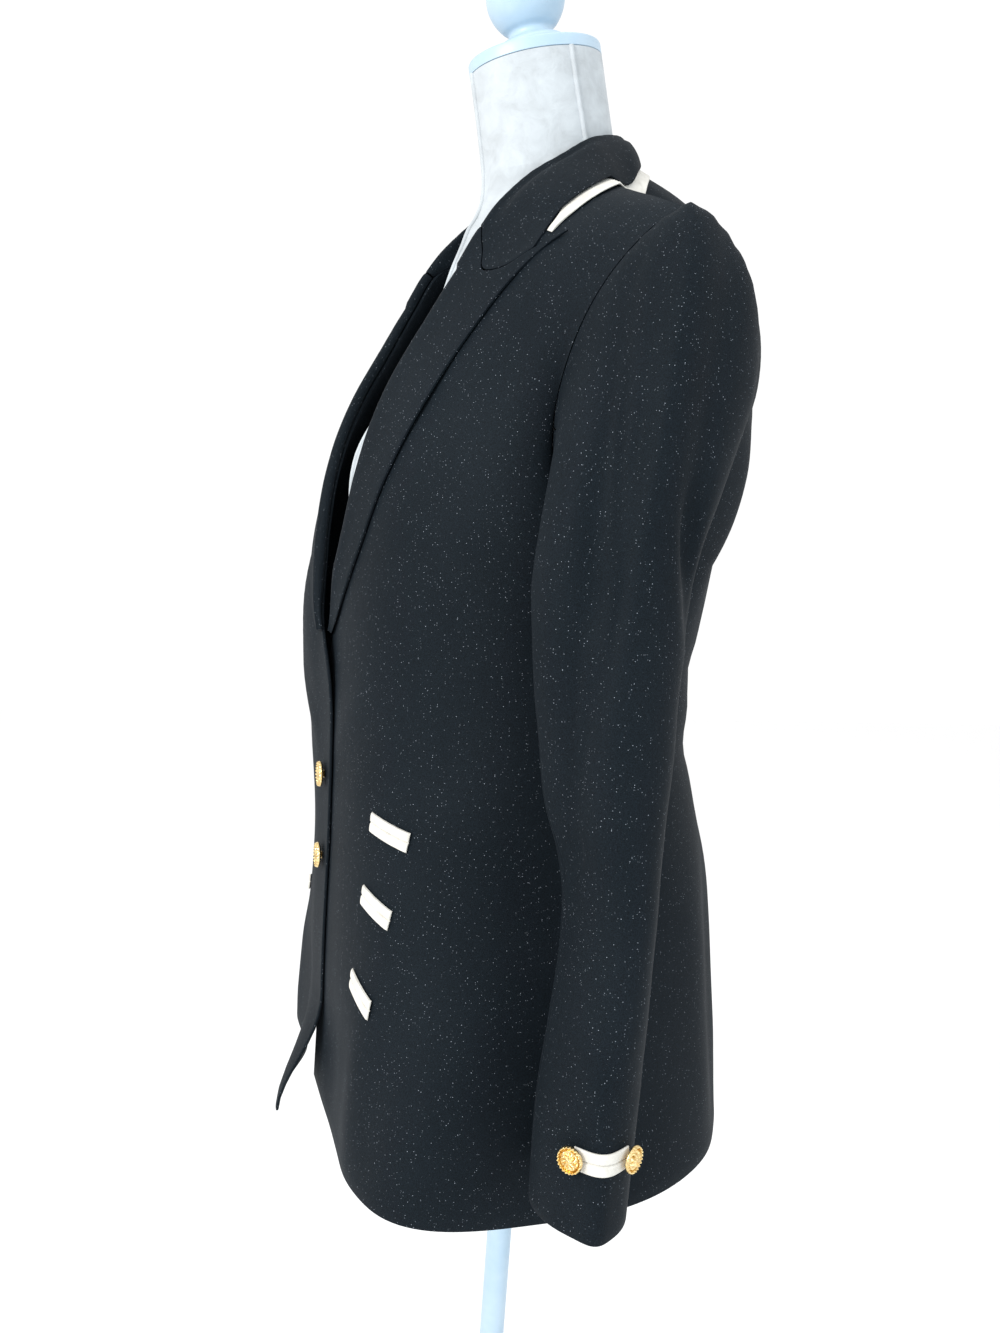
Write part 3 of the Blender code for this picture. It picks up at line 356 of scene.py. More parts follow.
def upper_body(share, start_angle, rise, centre, armhole, top, over_shoulder, fullness):
    """Panel above the underarm level: from the centre line to the armhole, up to its top edge."""
    side = np.pi / 2

    def loft(across):
        angle = start_angle + across * (side - start_angle)
        start = body(angle, np.full_like(angle, UNDERARM))
        below = body(angle, np.full_like(angle, UNDERARM - 0.01))
        leaving = (start - below) / 0.01 * CHEST_TO_SHOULDER
        return hermite(rise[..., None], start, leaving, curve(top, across), over_shoulder)

    zero = np.zeros_like(share)
    centre_shift = curve(centre, rise) - loft(zero)
    armhole_shift = curve(armhole, rise) - loft(zero + 1)
    from_centre = ((1 - share ** fullness) ** 2)[..., None]
    return loft(share) + from_centre * centre_shift + (share ** 3)[..., None] * armhole_shift


def edge_angle(height):
    """Angle of the front edge from the centre front at a height."""
    edge, = columns(FRONT_EDGE, height)
    _, widest, depth, _, _, _ = columns(BODY, height)
    return np.arctan2(edge, depth - widest)


def front(share, level):
    """Left front; level 0 to 1 runs up to the underarm, 1 to 2 up to the shoulder."""
    share, level = np.broadcast_arrays(share * 1.0, level * 1.0)
    height = UNDERARM * np.clip(level, 0, 1)
    start = edge_angle(height)
    lower = body(start + share * (np.pi / 2 - start), height)
    underarm = np.array(UNDERARM)
    start = edge_angle(underarm)
    centre = points(ROLL_LINE)
    centre[0] = body(start, underarm)
    upper = upper_body(share, start, np.clip(level - 1, 0, 1), centre, points(FRONT_ARMHOLE),
                       points(BACK_TOP[3:]), np.array(FRONT_OVER_SHOULDER), 1.0)
    return np.where((level <= 1)[..., None], lower, upper)


def back(share, level):
    """Left back; share runs from the centre back seam to the side, level as for the front."""
    share, level = np.broadcast_arrays(share * 1.0, level * 1.0)
    height = UNDERARM * np.clip(level, 0, 1)
    lower = body(np.pi - share * np.pi / 2, height)
    upper = upper_body(share, np.pi, np.clip(level - 1, 0, 1), points(CENTRE_BACK),
                       points(BACK_ARMHOLE), points(BACK_TOP), np.array(BACK_OVER_SHOULDER), 2.0)
    return np.where((level <= 1)[..., None], lower, upper)


def grid_normals(grid, outward):
    """Unit normals of a grid of points, turned towards the side that outward points to."""
    normal = unit(np.cross(np.gradient(grid, axis=0), np.gradient(grid, axis=1)))
    middle = normal[normal.shape[0] // 2, normal.shape[1] // 2]
    return normal if middle @ np.array(outward) > 0 else -normal


def place_on(panel, targets, seen_along):
    """Points and outward normals of a panel where it is seen at the targets along an axis."""
    kept = [axis for axis in range(3) if axis != seen_along]
    share, level = np.meshgrid(spread(41), spread(81, 0, 2), indexing="ij")
    samples = panel(share, level)[..., kept].reshape(-1, 2)
    flat = targets.reshape(-1, 2)
    nearest = np.array([np.argmin(((samples - place) ** 2).sum(1)) for place in flat])
    share, level = share.reshape(-1)[nearest], level.reshape(-1)[nearest]
    step = 1e-4
    for _ in range(15):
        level = np.clip(level, step, 2 - step)
        here = panel(share, level)
        along_share = (panel(share + step, level) - panel(share - step, level)) / (2 * step)
        along_level = (panel(share, level + step) - panel(share, level - step)) / (2 * step)
        matrix = np.stack((along_share[:, kept], along_level[:, kept]), -1)
        move = np.linalg.solve(matrix, (flat - here[:, kept])[..., None])[..., 0]
        share = share + np.clip(move[:, 0], -0.05, 0.05)
        level = level + np.clip(move[:, 1], -0.05, 0.05)
    normal = unit(np.cross(along_share, along_level))
    middle = point(0.0, 0.01, 0.4)
    normal *= np.sign(((here - middle) * normal).sum(-1, keepdims=True))
    shape = targets.shape[:-1] + (3,)
    return here.reshape(shape), normal.reshape(shape)


def place_on_front(sideways, height):
    """Point and outward normal of the left front at a place as seen from the front."""
    return place_on(front, np.stack(np.broadcast_arrays(sideways, HEM + height), -1), 1)


def place_on_shoulder(sideways, forward):
    """Point and outward normal of the front or the back at a place as seen from above."""
    targets = np.stack(np.broadcast_arrays(sideways, -forward), -1)
    on_front = place_on(front, targets, 2)
    on_back = place_on(back, targets, 2)
    ahead = (np.broadcast_to(forward, targets.shape[:-1]) > SHOULDER_SEAM)[..., None]
    return np.where(ahead, on_front[0], on_back[0]), np.where(ahead, on_front[1], on_back[1])


def sleeve_section(around, height):
    """Sleeve outline at a height; around 0 is the outer side, a quarter is the front."""
    centre, ahead, half_side, half_fore, power, ridge, dent, crest = columns(SLEEVE, height)
    angle = 2 * np.pi * around
    radius = (np.abs(np.cos(angle)) ** power + np.abs(np.sin(angle)) ** power) ** (-1 / power)
    from_ridge = np.mod(angle - np.radians(ridge) + np.pi, 2 * np.pi) - np.pi
    radius = radius - dent / half_fore * bell(from_ridge, 0.52, 0.38)
    radius = radius + crest / half_side * bell(from_ridge, 0, 0.3)
    sideways = centre + half_side * radius * np.cos(angle)
    return point(sideways, ahead + half_fore * radius * np.sin(angle), height)


def armhole_ring(around):
    """Closed armhole curve from the shoulder point down the front and up the back."""
    forward_side = curve(points(FRONT_ARMHOLE), 1 - 2 * around)
    back_side = curve(points(BACK_ARMHOLE), 2 * around - 1)
    return np.where((around <= 0.5)[..., None], forward_side, back_side)


def sleeve(around, level):
    """Left sleeve; level 0 to 1 runs from the armhole to the upper arm, 1 to 2 to the cuff."""
    around, level = np.broadcast_arrays(around % 1.0, level * 1.0)
    height = SLEEVE_TOP_RING - ARM_LENGTH * np.clip(level - 1, 0, 1)
    lower = sleeve_section(around, height)
    ring = armhole_ring(around)
    hole_centre = point(*ARMHOLE_CENTRE)
    start = ring + unit(hole_centre - ring, 0) * ARMHOLE_EASE
    end = sleeve_section(around, np.full_like(around, SLEEVE_TOP_RING))
    reach = lengths(end - start)[..., None]
    top = 0.5 + 0.5 * np.cos(2 * np.pi * around)[..., None]
    rear = np.sqrt(np.clip(-np.sin(2 * np.pi * around), 0, 1))[..., None]
    leaving = np.array(HEAD_LEAVING) + top * np.array(HEAD_LIFT) + rear * np.array(HEAD_REAR)
    rise = np.clip(level, 0, 1)
    upper = hermite(rise[..., None], start, reach * leaving, end, reach * np.array(HEAD_ARRIVING))
    axis = hole_centre + rise[..., None] * (point(*SLEEVE[0][1:3], SLEEVE_TOP_RING) - hole_centre)
    crease = CREASE_PLACE - CREASE_TURN * rise ** 4
    from_crease = np.mod(around - crease + 0.5, 1) - 0.5
    fading = ease(rise, 0.05, 0.35) * (1 - ease(rise, 0.85, 1.0))
    depth = CREASE_DEPTH * fading * bell(from_crease, 0, CREASE_WIDTH)
    upper = upper - unit(upper - axis) * depth[..., None]
    return np.where((level >= 1)[..., None], lower, upper)


def turns(count):
    """Angles evenly round a full turn."""
    return np.linspace(0, 2 * np.pi, count, endpoint=False)


def circle(angles, first, second):
    """Points round a unit circle in the plane of two directions."""
    return np.cos(angles)[:, None] * first + np.sin(angles)[:, None] * second


def mirrored(grid):
    """The same points on the wearer's right."""
    return grid * np.array((-1.0, 1.0, 1.0))


def spread(count, low=0.0, high=1.0):
    """Evenly spaced values."""
    return np.linspace(low, high, count)


def on_right(grid):
    """Left front points carried over to the right front: its edge laps over the left one, its
    lower corner swings forward and down, and it stands off over the chest."""
    moved = mirrored(grid)
    aside, height = moved[..., 0], moved[..., 2] - HEM
    near_break = bell(height, BREAK_HEIGHT, 0.035)
    over = (CLOTH + LAP_LIFT) * ease(aside, -0.07, -0.022) * (1 + BREAK_LIFT * near_break)
    swung = (1 - ease(height, 0, 0.085)) ** 1.3 * ease(aside, -0.075, OVERLAP)
    moved[..., 2] -= CORNER_DROP * swung
    across = bell(aside, -0.08, 0.05)
    up = bell(moved[..., 2] - HEM, 0.365, 0.12)
    moved[..., 1] -= over + CORNER_SWING * swung + CHEST_STAND_OFF * across * up
    return moved


def sleeve_normals(around, level):
    """Outward normals of the left sleeve."""
    step = 0.004
    higher = np.clip(level - step, 0, 2)
    lower = np.clip(level + step, 0, 2)
    along = sleeve(around, lower) - sleeve(around, higher)
    across = sleeve(around + step, level) - sleeve(around - step, level)
    return unit(np.cross(across, along))


def lapel_outline(along, share):
    """Place on the front, as seen from the front, of a lapel point before its roll."""
    roll_x, roll_height, edge_x, edge_height = np.moveaxis(curve(LAPEL, along), -1, 0)
    straight = np.stack((roll_x + share * (edge_x - roll_x),
                         roll_height + share * (edge_height - roll_height)), -1)
    first, last = GORGE[0], GORGE[-1]
    shape_of_gorge = curve(GORGE, share) - (first + share[..., None] * (last - first))
    return straight + ease(along, 0.72, 1.0)[..., None] * shape_of_gorge


def lapel_face(along, sunk):
    """Left lapel's sections at places along it, sunk below its outer face."""
    section = []
    zero = np.zeros_like(along)
    start = lapel_outline(along, zero)
    end = lapel_outline(along, zero + 1)
    width = lengths(end - start)
    across = (end - start) / width[..., None]
    size = np.clip(width / 0.022, 0.35, 1.0)
    sunk = sunk * size
    sunk_roll = ((0, -1), (1, -0.3), (1, 0.4), (0.3, 1))
    foot, normal = place_on_front(start[..., 0], start[..., 1])
    beyond = start + across * width[..., None] * LAPEL_FALL[0, 0]
    across = unit(place_on_front(beyond[..., 0], beyond[..., 1])[0] - foot)
    for (distance, lift), (side, down) in zip(LAPEL_ROLL, sunk_roll):
        aside = across * (size * distance + sunk * side)[..., None]
        section.append(foot + aside + normal * (lift * size - sunk * down)[..., None])
    for share, lift in LAPEL_FALL:
        place = lapel_outline(along, zero + share)
        foot, normal = place_on_front(place[..., 0], place[..., 1])
        lift = LAPEL_FALL[-1, 1] + (lift - LAPEL_FALL[-1, 1]) * size
        section.append(foot + normal * (lift - sunk)[..., None])
    return np.stack(section, 1)


def collar_rows(along):
    """Roll edge, fall edge and band edge of the collar at places from the gorge to the back."""
    rows = np.array(COLLAR)
    mirror_row = rows[-2] * np.array((-1, 1, 1, -1, 1, -1, 1))
    at = run(rows[:, :3])
    return np.moveaxis(curve(np.vstack((rows, mirror_row)), along, np.append(at, 2 - at[-2])), -1, 0)


def neckline(along):
    """Top edge of the front and the back from the roll line's top to the centre back."""
    front_neck = ROLL_LINE[6:]
    back_neck = BACK_TOP[2::-1]
    mirror_row = back_neck[-2] * np.array((-1, 1, 1))
    rows = np.vstack((front_neck, back_neck, mirror_row))
    return points(curve(rows, along - NECKLINE_PULL * along * (1 - along), run(rows, 1)))


def over_seam(foot):
    """How near a place is to the shoulder seam, from 0 to 1."""
    return bell(foot[..., 1], -SHOULDER_SEAM, 0.018)[..., None]


def collar_section(along):
    """Outer face of the folded collar: up the stand, over the roll and down the fall."""
    roll_x, roll_forward, roll_height, fall_x, fall_forward, _, _ = collar_rows(along)
    roll = point(roll_x, roll_forward, roll_height)
    foot, foot_normal = place_on_shoulder(fall_x, fall_forward)
    edge = foot + foot_normal * (FALL_LIFT + BAND_SEAM_LIFT * over_seam(foot))
    neck = neckline(along)
    up = np.array((0.0, 0.0, 1.0))
    away = unit(edge - neck, 2)
    inward = unit(point(0.0, 0.02, 0.0) - neck, 2)
    stand_foot = neck + inward * STAND_CLEAR + up * 0.0012
    fall = edge - roll
    middle = roll + fall * 0.5
    bulge = foot_normal * 0.0035
    inner_shoulder = roll - away * 0.003 - up * 0.003
    outer_shoulder = roll + away * 0.004 - up * 0.0028
    stand_middle = (stand_foot + inner_shoulder) / 2 - away * 0.0005
    return np.stack((stand_foot, stand_middle, inner_shoulder, roll, outer_shoulder,
                     roll + fall * 0.27 + bulge * 0.8, middle + bulge,
                     roll + fall * 0.77 + bulge * 0.7, edge), 1)


def form_ring(height, sides, raised=0.0):
    """Closed section of the dress form at a height, raised square to its own slope."""
    *sizes, slope = columns(FORM, np.array(height))
    angle = turns(sides)
    radius = section_radius(angle, *sizes)
    forward = radius * np.cos(angle)
    return point(radius * np.sin(angle), sizes[1] + slope * raised + forward,
                 height + raised - slope * forward)


def fold_height(first, second, folds, scale=1.0):
    """Height of the soft folds at places given by two coordinates, in metres."""
    total = np.zeros(np.broadcast(first, second).shape)
    for start_a, start_b, end_a, end_b, half_width, rise in folds:
        reach = np.array(((end_a - start_a) * scale, end_b - start_b))
        length = np.linalg.norm(reach)
        away_a, away_b = (first - start_a) * scale, second - start_b
        along = (away_a * reach[0] + away_b * reach[1]) / length ** 2
        nearest = np.clip(along, 0, 1)
        distance = np.hypot(away_a - nearest * reach[0], away_b - nearest * reach[1])
        taper = ease(along, -0.15, 0.3) * (1 - ease(along, 0.7, 1.15))
        total = total + rise * taper * bell(distance, 0, half_width)
    return total


def edged(values, step=0.0015):
    """The values with one more close to each end, to turn the edge there."""
    span = values[-1] - values[0]
    return np.concatenate((values[:1], [values[0] + step * span], values[1:-1],
                           [values[-1] - step * span], values[-1:]))


def placed(name, data):
    """New object of the scene."""
    made = bpy.data.objects.new(name, data)
    bpy.context.scene.collection.objects.link(made)
    return made


def add_object(name, vertices, faces, made_of, smooth_angle=50):
    """Link a smooth mesh object with its faces turned outwards."""
    mesh = bpy.data.meshes.new(name)
    mesh.from_pydata(vertices.tolist(), [], faces)
    shape = bmesh.new()
    shape.from_mesh(mesh)
    bmesh.ops.recalc_face_normals(shape, faces=shape.faces)
    shape.to_mesh(mesh)
    shape.free()
    mesh.materials.append(made_of)
    mesh.shade_smooth()
    mesh.set_sharp_from_angle(angle=np.radians(smooth_angle))
    made = placed(name, mesh)
    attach(made, "root")
    return made


def add_shell(name, outer, inner, made_of):
    """Closed wall between two grids of points of the same size."""
    count = outer[..., 0].size
    index = np.arange(count).reshape(outer.shape[:2])
    quads = np.stack((index[:-1, :-1], index[:-1, 1:], index[1:, 1:], index[1:, :-1]), -1).reshape(-1, 4)
    walls = np.stack((quads, quads[:, ::-1] + count), 1).reshape(-1, 4)
    rim = np.concatenate((index[0], index[1:, -1], index[-1, -2::-1], index[-2:0:-1, 0]))
    beyond = np.roll(rim, -1)
    edges = np.stack((beyond, rim, rim + count, beyond + count), 1)
    faces = np.concatenate((walls, edges)).tolist()
    return add_object(name, np.concatenate((outer.reshape(-1, 3), inner.reshape(-1, 3))), faces, made_of)


def add_loft(name, rings, made_of, smooth_angle=50):
    """Closed solid through rings of points, with flat caps at both ends."""
    sides = len(rings[0])
    index = np.arange(len(rings) * sides).reshape(-1, sides)
    beyond = np.roll(index, -1, 1)
    walls = np.stack((index[:-1], beyond[:-1], beyond[1:], index[1:]), -1).reshape(-1, 4).tolist()
    caps = [index[0, ::-1].tolist(), index[-1].tolist()]
    return add_object(name, np.concatenate(rings), walls + caps, made_of, smooth_angle)


def add_cloth(node, outer, inner, made_of, turn=0.0004):
    """Cloth between two fine grids, its rim rounded by drawing both faces together; it
    replaces a node."""
    middle = (outer + inner) / 2
    shapes = []
    for face in (outer, inner):
        rounded = face.copy()
        toward = middle - face
        toward = toward / np.maximum(lengths(toward), 1e-9)[..., None]
        for edge in (np.s_[0, :], np.s_[-1, :], np.s_[:, 0], np.s_[:, -1]):
            rounded[edge] = face[edge] + toward[edge] * turn
        shapes.append(rounded)
    piece = add_shell(node + "_cloth", *shapes, made_of)
    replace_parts(piece, node)


def add_pair(node, outer, inner, made_of, carry=mirrored, turn=0.0004):
    """A left piece and the same carried over to the right; {} in a name stands for the side."""
    for side, face, behind in (("left", outer, inner), ("right", carry(outer), carry(inner))):
        add_cloth(node.format(side), face, behind, made_of,
                  turn)


def folded_panel(panel, cut, outward, folds):
    """Fine outer face of a left panel with its soft folds, and its normals."""
    across, below, above = cut
    levels = np.concatenate((spread(below), spread(above, 1, 2)[1:]))
    share, level = np.meshgrid(edged(spread(across)), edged(levels, 0.0006), indexing="ij")
    grid = panel(share * (1 - SIDE_GAP), level)
    normal = grid_normals(grid, outward)
    rise = fold_height(grid[..., 0], grid[..., 2] - HEM, folds)
    return grid + normal * rise[..., None], normal


def make_fronts(crepe):
    """Both fronts with their soft folds; the right one laps over the left one."""
    outer, normal = folded_panel(front, FRONT_CUT, (1, -1, 0), FRONT_FOLDS)
    seam = -SHOULDER_SEAM - SEAM / 2
    outer[..., 1] = np.minimum(outer[..., 1], seam)
    inner = outer - normal * CLOTH
    inner[..., 1] = np.minimum(inner[..., 1], seam)
    add_pair("front_{}", outer, inner, crepe, on_right)


def make_backs(crepe):
    """Both backs with a centre back seam between them."""
    outer, normal = folded_panel(back, BACK_CUT, (1, 1, 0), BACK_FOLDS)
    inner = outer - normal * CLOTH
    for wall in (outer, inner):
        wall[..., 0] = np.maximum(wall[..., 0], SEAM / 2)
        behind_seam = np.maximum(wall[..., 1], -SHOULDER_SEAM + SEAM / 2)
        wall[..., 1] = np.where(wall[..., 2] > HEM + SHOULDER_TOP, behind_seam, wall[..., 1])
    add_pair("back_{}", outer, inner, crepe)


def creased_sleeve(around, level):
    """Outer face of the left sleeve with its soft folds and the ripples at its head."""
    place = around % 1.0
    grid = sleeve(place, level)
    normal = sleeve_normals(around, level)
    height = SLEEVE_TOP_RING + (1 - level) * np.where(level < 1, SLEEVE_HEAD, ARM_LENGTH)
    signed = (place + 0.5) % 1.0 - 0.5
    folds = fold_height(signed, height, SLEEVE_FOLDS, SLEEVE_GIRTH) * ease(level, 0.06, 0.25)
    near_seam = ease(level, 0, 0.05) * (1 - ease(level, 0.1, 0.3))
    at_head = 0.5 + 0.5 * np.cos(2 * np.pi * place)
    ripples = CAP_RIPPLES * near_seam * at_head * np.sin(2 * np.pi * place * 38)
    return grid + normal * (folds + ripples)[..., None], normal


def make_sleeves(crepe):
    """Upper and under sleeves, meeting at a front and a back seam."""
    front_seam, back_seam, gap = FRONT_SLEEVE_SEAM, BACK_SLEEVE_SEAM, SLEEVE_SEAM_GAP
    for name, low, high, (across, head, arm) in (
            ("upper_sleeve_{}", back_seam - 1 + gap, front_seam - gap, SLEEVE_CUT),
            ("under_sleeve_{}", front_seam + gap, back_seam - gap, UNDER_CUT)):
        levels = edged(np.concatenate((spread(head), spread(arm, 1, 2)[1:])), 0.0008)
        around, level = np.meshgrid(edged(spread(across, low, high), 0.004), levels, indexing="ij")
        outer, normal = creased_sleeve(around, level)
        add_pair(name, outer, outer - normal * CLOTH, crepe)


def finer(section, count):
    """Each row of points of a section run through more points on a smooth curve."""
    return np.stack([curve(row, spread(count)) for row in section])


def make_lapels(crepe):
    """Both lapels, each rolled back on its front."""
    along = edged(spread(90, 0.0, LAPEL_END), 0.004)
    outer = finer(lapel_face(along, np.zeros_like(along)), 40)
    inner = finer(lapel_face(along, np.full_like(along, CLOTH)), 40)
    add_pair("lapel_{}", outer, inner, crepe, on_right)


def both_halves(grid):
    """A grid from the left gorge to the centre back, carried on to the right gorge."""
    return np.concatenate((grid, mirrored(grid[-2::-1])))


def make_collar(crepe, trim):
    """Collar folded over its stand, and the contrast band under the fall's edge."""
    half = np.concatenate(([0.0, 0.004], spread(60)[1:]))
    section = collar_section(half)
    near = (1 - ease(half, 0, 0.22))[:, None, None]
    gorge = np.array([COLLAR_START])
    outer = section + near * (lapel_face(gorge, np.array([0.0]))[0, :COLLAR_POINTS] - section[0])
    outer[-1, :, 0] = 0.0
    fall_edge = outer[:, -1]
    outer = finer(outer, 40)
    inner = outer - grid_normals(outer, (1, 0.3, 0.6)) * CLOTH
    sunk = finer(lapel_face(gorge, np.array([CLOTH]))[:, :COLLAR_POINTS], 40)[0]
    inner = inner + near ** 2 * (sunk - inner[0])
    inner[-1, :, 0] = 0.0
    add_cloth("collar", both_halves(outer), both_halves(inner), crepe)

    _, _, _, fall_x, fall_forward, band_x, band_forward = collar_rows(half)
    strip = []
    band_x, band_forward = band_x - fall_x, band_forward - fall_forward
    fall_x, fall_forward = fall_edge[:, 0], -fall_edge[:, 1]
    tucked = BAND_TUCK - ease(half, 0.12, 0.36)
    keep = half > 0.1
    for step in edged(spread(12), 0.03):
        share = tucked + step * (1 - tucked)
        strip.append(place_on_shoulder(fall_x + share * band_x, fall_forward + share * band_forward))
    foot = np.stack([place for place, _ in strip], 1)[keep]
    normal = np.stack([direction for _, direction in strip], 1)[keep]
    for _ in range(9):
        normal[1:-1] = (normal[:-2] + 2 * normal[1:-1] + normal[2:]) / 4
    lower = foot + normal * (BAND_LIFT + BAND_SEAM_LIFT * over_seam(foot))
    upper = lower + normal * TRIM_CLOTH
    add_cloth("collar_band", both_halves(upper), both_halves(lower), trim)


def double_lip(across, groove):
    """Swell of two lips with a groove of a given half width, over a strip from -0.5 to 0.5."""
    lip = 0.0007 * np.sqrt(np.clip(1 - ((np.abs(across) - 0.26) / 0.25) ** 2, 0, 1))
    return lip - 0.0009 * bell(across, 0, groove)


def make_welts(trim):
    """Double-lip welts: each a folded strip with a groove between its lips."""
    across = np.concatenate(([0.0, 0.03], spread(19, 0.08, 0.92), [0.97, 1.0]))
    swell = double_lip(across - 0.5, 0.028) - 0.0007 * (np.abs(across - 0.5) > 0.49)
    for number, (front_height, side_height) in enumerate(WELTS, 1):
        along, down = np.meshgrid(edged(spread(25), 0.02), across, indexing="ij")
        sideways = WELT_START + along * (WELT_END - WELT_START)
        height = front_height + along * (side_height - front_height) - down * WELT_HEIGHT
        foot, normal = place_on_front(sideways, height)
        ends = 0.0005 * (1 - ease(np.minimum(along, 1 - along), 0, 0.03))
        lower = foot + normal * TRIM_LIFT
        upper = lower + normal * (TRIM_CLOTH + swell - ends)[..., None]
        add_pair(f"welt_{{}}_{number}", upper, lower, trim, on_right, TRIM_TURN)


def button_face(radius, turn):
    """Height of a button's face as a share of its thickness: beaded rim, petals and a boss."""
    dome = 0.62 + 0.3 * np.sqrt(np.clip(1 - (radius / 0.78) ** 2, 0, 1))
    petal = 0.5 + 0.5 * np.cos(PETALS * turn + 5.0 * radius)
    between = bell(radius, 0.46, 0.2)
    scroll = (petal ** 0.6 - 0.55) * 0.34 * between
    boss = 0.16 * bell(radius, 0, 0.15) * (0.8 + 0.2 * np.cos(5 * turn))
    moat = -0.22 * bell(radius, 0.76, 0.045)
    bead = 0.5 + 0.5 * np.cos(BEADS * turn)
    rim = (0.16 + 0.2 * bead ** 0.7) * bell(radius, 0.9, 0.075)
    return dome + scroll + boss + moat + rim


def make_button(name, seat, axis, radius, gold):
    """Gold button with an ornamental face on a short shank."""
    axis = unit(axis)
    side = unit(np.cross(axis, (0.0, 0.0, 1.0)))
    upright = np.cross(side, axis)
    turn = turns(132)
    rim = circle(turn, side, upright)
    base = seat + axis * SEAM
    rings = [base + rim * radius * width + axis * BUTTON_THICKNESS * rise
             for width, rise in ((0.26, 0.0), (0.3, 0.04), (0.26, 0.12), (0.24, 0.26), (0.4, 0.3),
                                 (0.86, 0.36), (0.96, 0.44), (1.00, 0.54), (0.99, 0.62))]
    for share in spread(34, 0.975, 0.03):
        rise = button_face(share, turn)
        rings.append(base + rim * radius * share + axis * (BUTTON_THICKNESS * rise)[:, None])
    piece = add_loft(name + "_relief", rings, gold, 60)
    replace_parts(piece, name)


def make_buttons(gold):
    """Two buttons on the right front, and two at each cuff."""
    for name, height in zip(("button_upper", "button_lower"), BUTTON_HEIGHTS):
        foot, normal = place_on_front(np.array([0.0]), np.array([height]))
        make_button(name, on_right(foot)[0], normal[0] * (-1, 1, 1), BUTTON_RADIUS, gold)
    level = np.array([TAB_LEVEL])
    for end, place in zip(("front", "back"), CUFF_BUTTON_PLACES):
        around = np.array([place])
        normal = sleeve_normals(around, level)[0]
        seat = sleeve(around, level)[0] + normal * (TRIM_CLOTH + 2 * SEAM)
        make_button(f"cuff_button_{end}_left", seat, normal, CUFF_BUTTON_RADIUS, gold)
        make_button(f"cuff_button_{end}_right", mirrored(seat), mirrored(normal), CUFF_BUTTON_RADIUS, gold)


def make_cuff_tabs(trim):
    """White double-lip tab round the outer side of each cuff."""
    front_place, back_place = CUFF_BUTTON_PLACES
    half_level = WELT_HEIGHT / 2 / ARM_LENGTH
    across = np.concatenate(([-1.0, -0.95], spread(19, -0.86, 0.86), [0.95, 1.0]))
    around, up = np.meshgrid(edged(spread(49, back_place, front_place), 0.01), across, indexing="ij")
    level = TAB_LEVEL + up * half_level
    foot = sleeve(around, level)
    normal = sleeve_normals(around, level)
    lower = foot + normal * SEAM
    upper = lower + normal * (TRIM_CLOTH + double_lip(across / 2, 0.03))[:, None]
    add_pair("cuff_tab_{}", upper, lower, trim, mirrored, TRIM_TURN)


def make_form(velvet, painted):
    """Dress form with piped seams, its cap, finial, pole and base."""
    low, high = FORM[0][0], FORM[-1][0]
    heights = np.unique(np.concatenate((spread(110, low, high), FORM[:, 0])))
    torso = add_loft("form_torso_cover", [form_ring(height, 128) for height in heights], velvet)
    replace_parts(torso, "form_torso")

    seams = np.array([form_ring(height, 360) for height in heights[3:]])
    for name, angle in zip(("front", "left", "back", "right"), PIPING_PLACES):
        path = seams[:, angle]
        away = unit(path - point(0.0, 0.015, heights[3:]), 2)
        side = np.cross(unit(np.gradient(path, axis=0)), away)
        rings = [centre + PIPING * circle(turns(10), out, across)
                 for centre, out, across in zip(path, away, side)]
        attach(add_loft(f"form_piping_{name}", rings, velvet), "root")

    cap_rings = []
    for share, inset in ((0.0, 0.02), (0.05, 0.0), (0.8, 0.0), (0.93, 0.012), (1.0, 0.05)):
        ring = form_ring(high, 96, SEAM + share * NECK_CAP)
        cap_rings.append(ring + (ring.mean(0) - ring) * inset)
    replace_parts(add_loft("neck_cap_turned", cap_rings, painted), "neck_cap")

    slope = FORM[-1][-1]
    foot_raise = NECK_CAP + 2 * SEAM
    foot = point(0.0, FORM[-1][2] + slope * foot_raise, high + foot_raise)
    axis = unit(np.array((0.0, -slope, 1.0)))
    side = np.array((1.0, 0.0, 0.0))
    turn = turns(72)
    round_axis = circle(turn, side, np.cross(axis, side))
    rings = [foot + axis * reach + radius * round_axis for radius, reach in curve(FINIAL, spread(90))]
    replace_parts(add_loft("finial_turned", rings, painted), "finial")

    pole_top = HEM + low - SEAM
    inside, outside = POLE_RADIUS + 0.0002, POLE_RADIUS + 0.006
    for name, profile, replaced in (
            ("pole_tube", ((POLE_RADIUS, BASE_TOP + SEAM), (POLE_RADIUS, pole_top)), "pole"),
            ("pole_collar", ((inside, pole_top - 0.03), (outside, pole_top - 0.028),
                             (outside, pole_top - 0.002), (inside, pole_top)), None),
            ("base_plate", BASE_PROFILE, "base")):
        rings = [np.stack((radius * np.cos(turn), radius * np.sin(turn) - POLE_FORWARD,
                           np.full_like(turn, height)), -1) for radius, height in profile]
        piece = add_loft(name, rings, painted, 40)
        if replaced:
            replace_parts(piece, replaced)


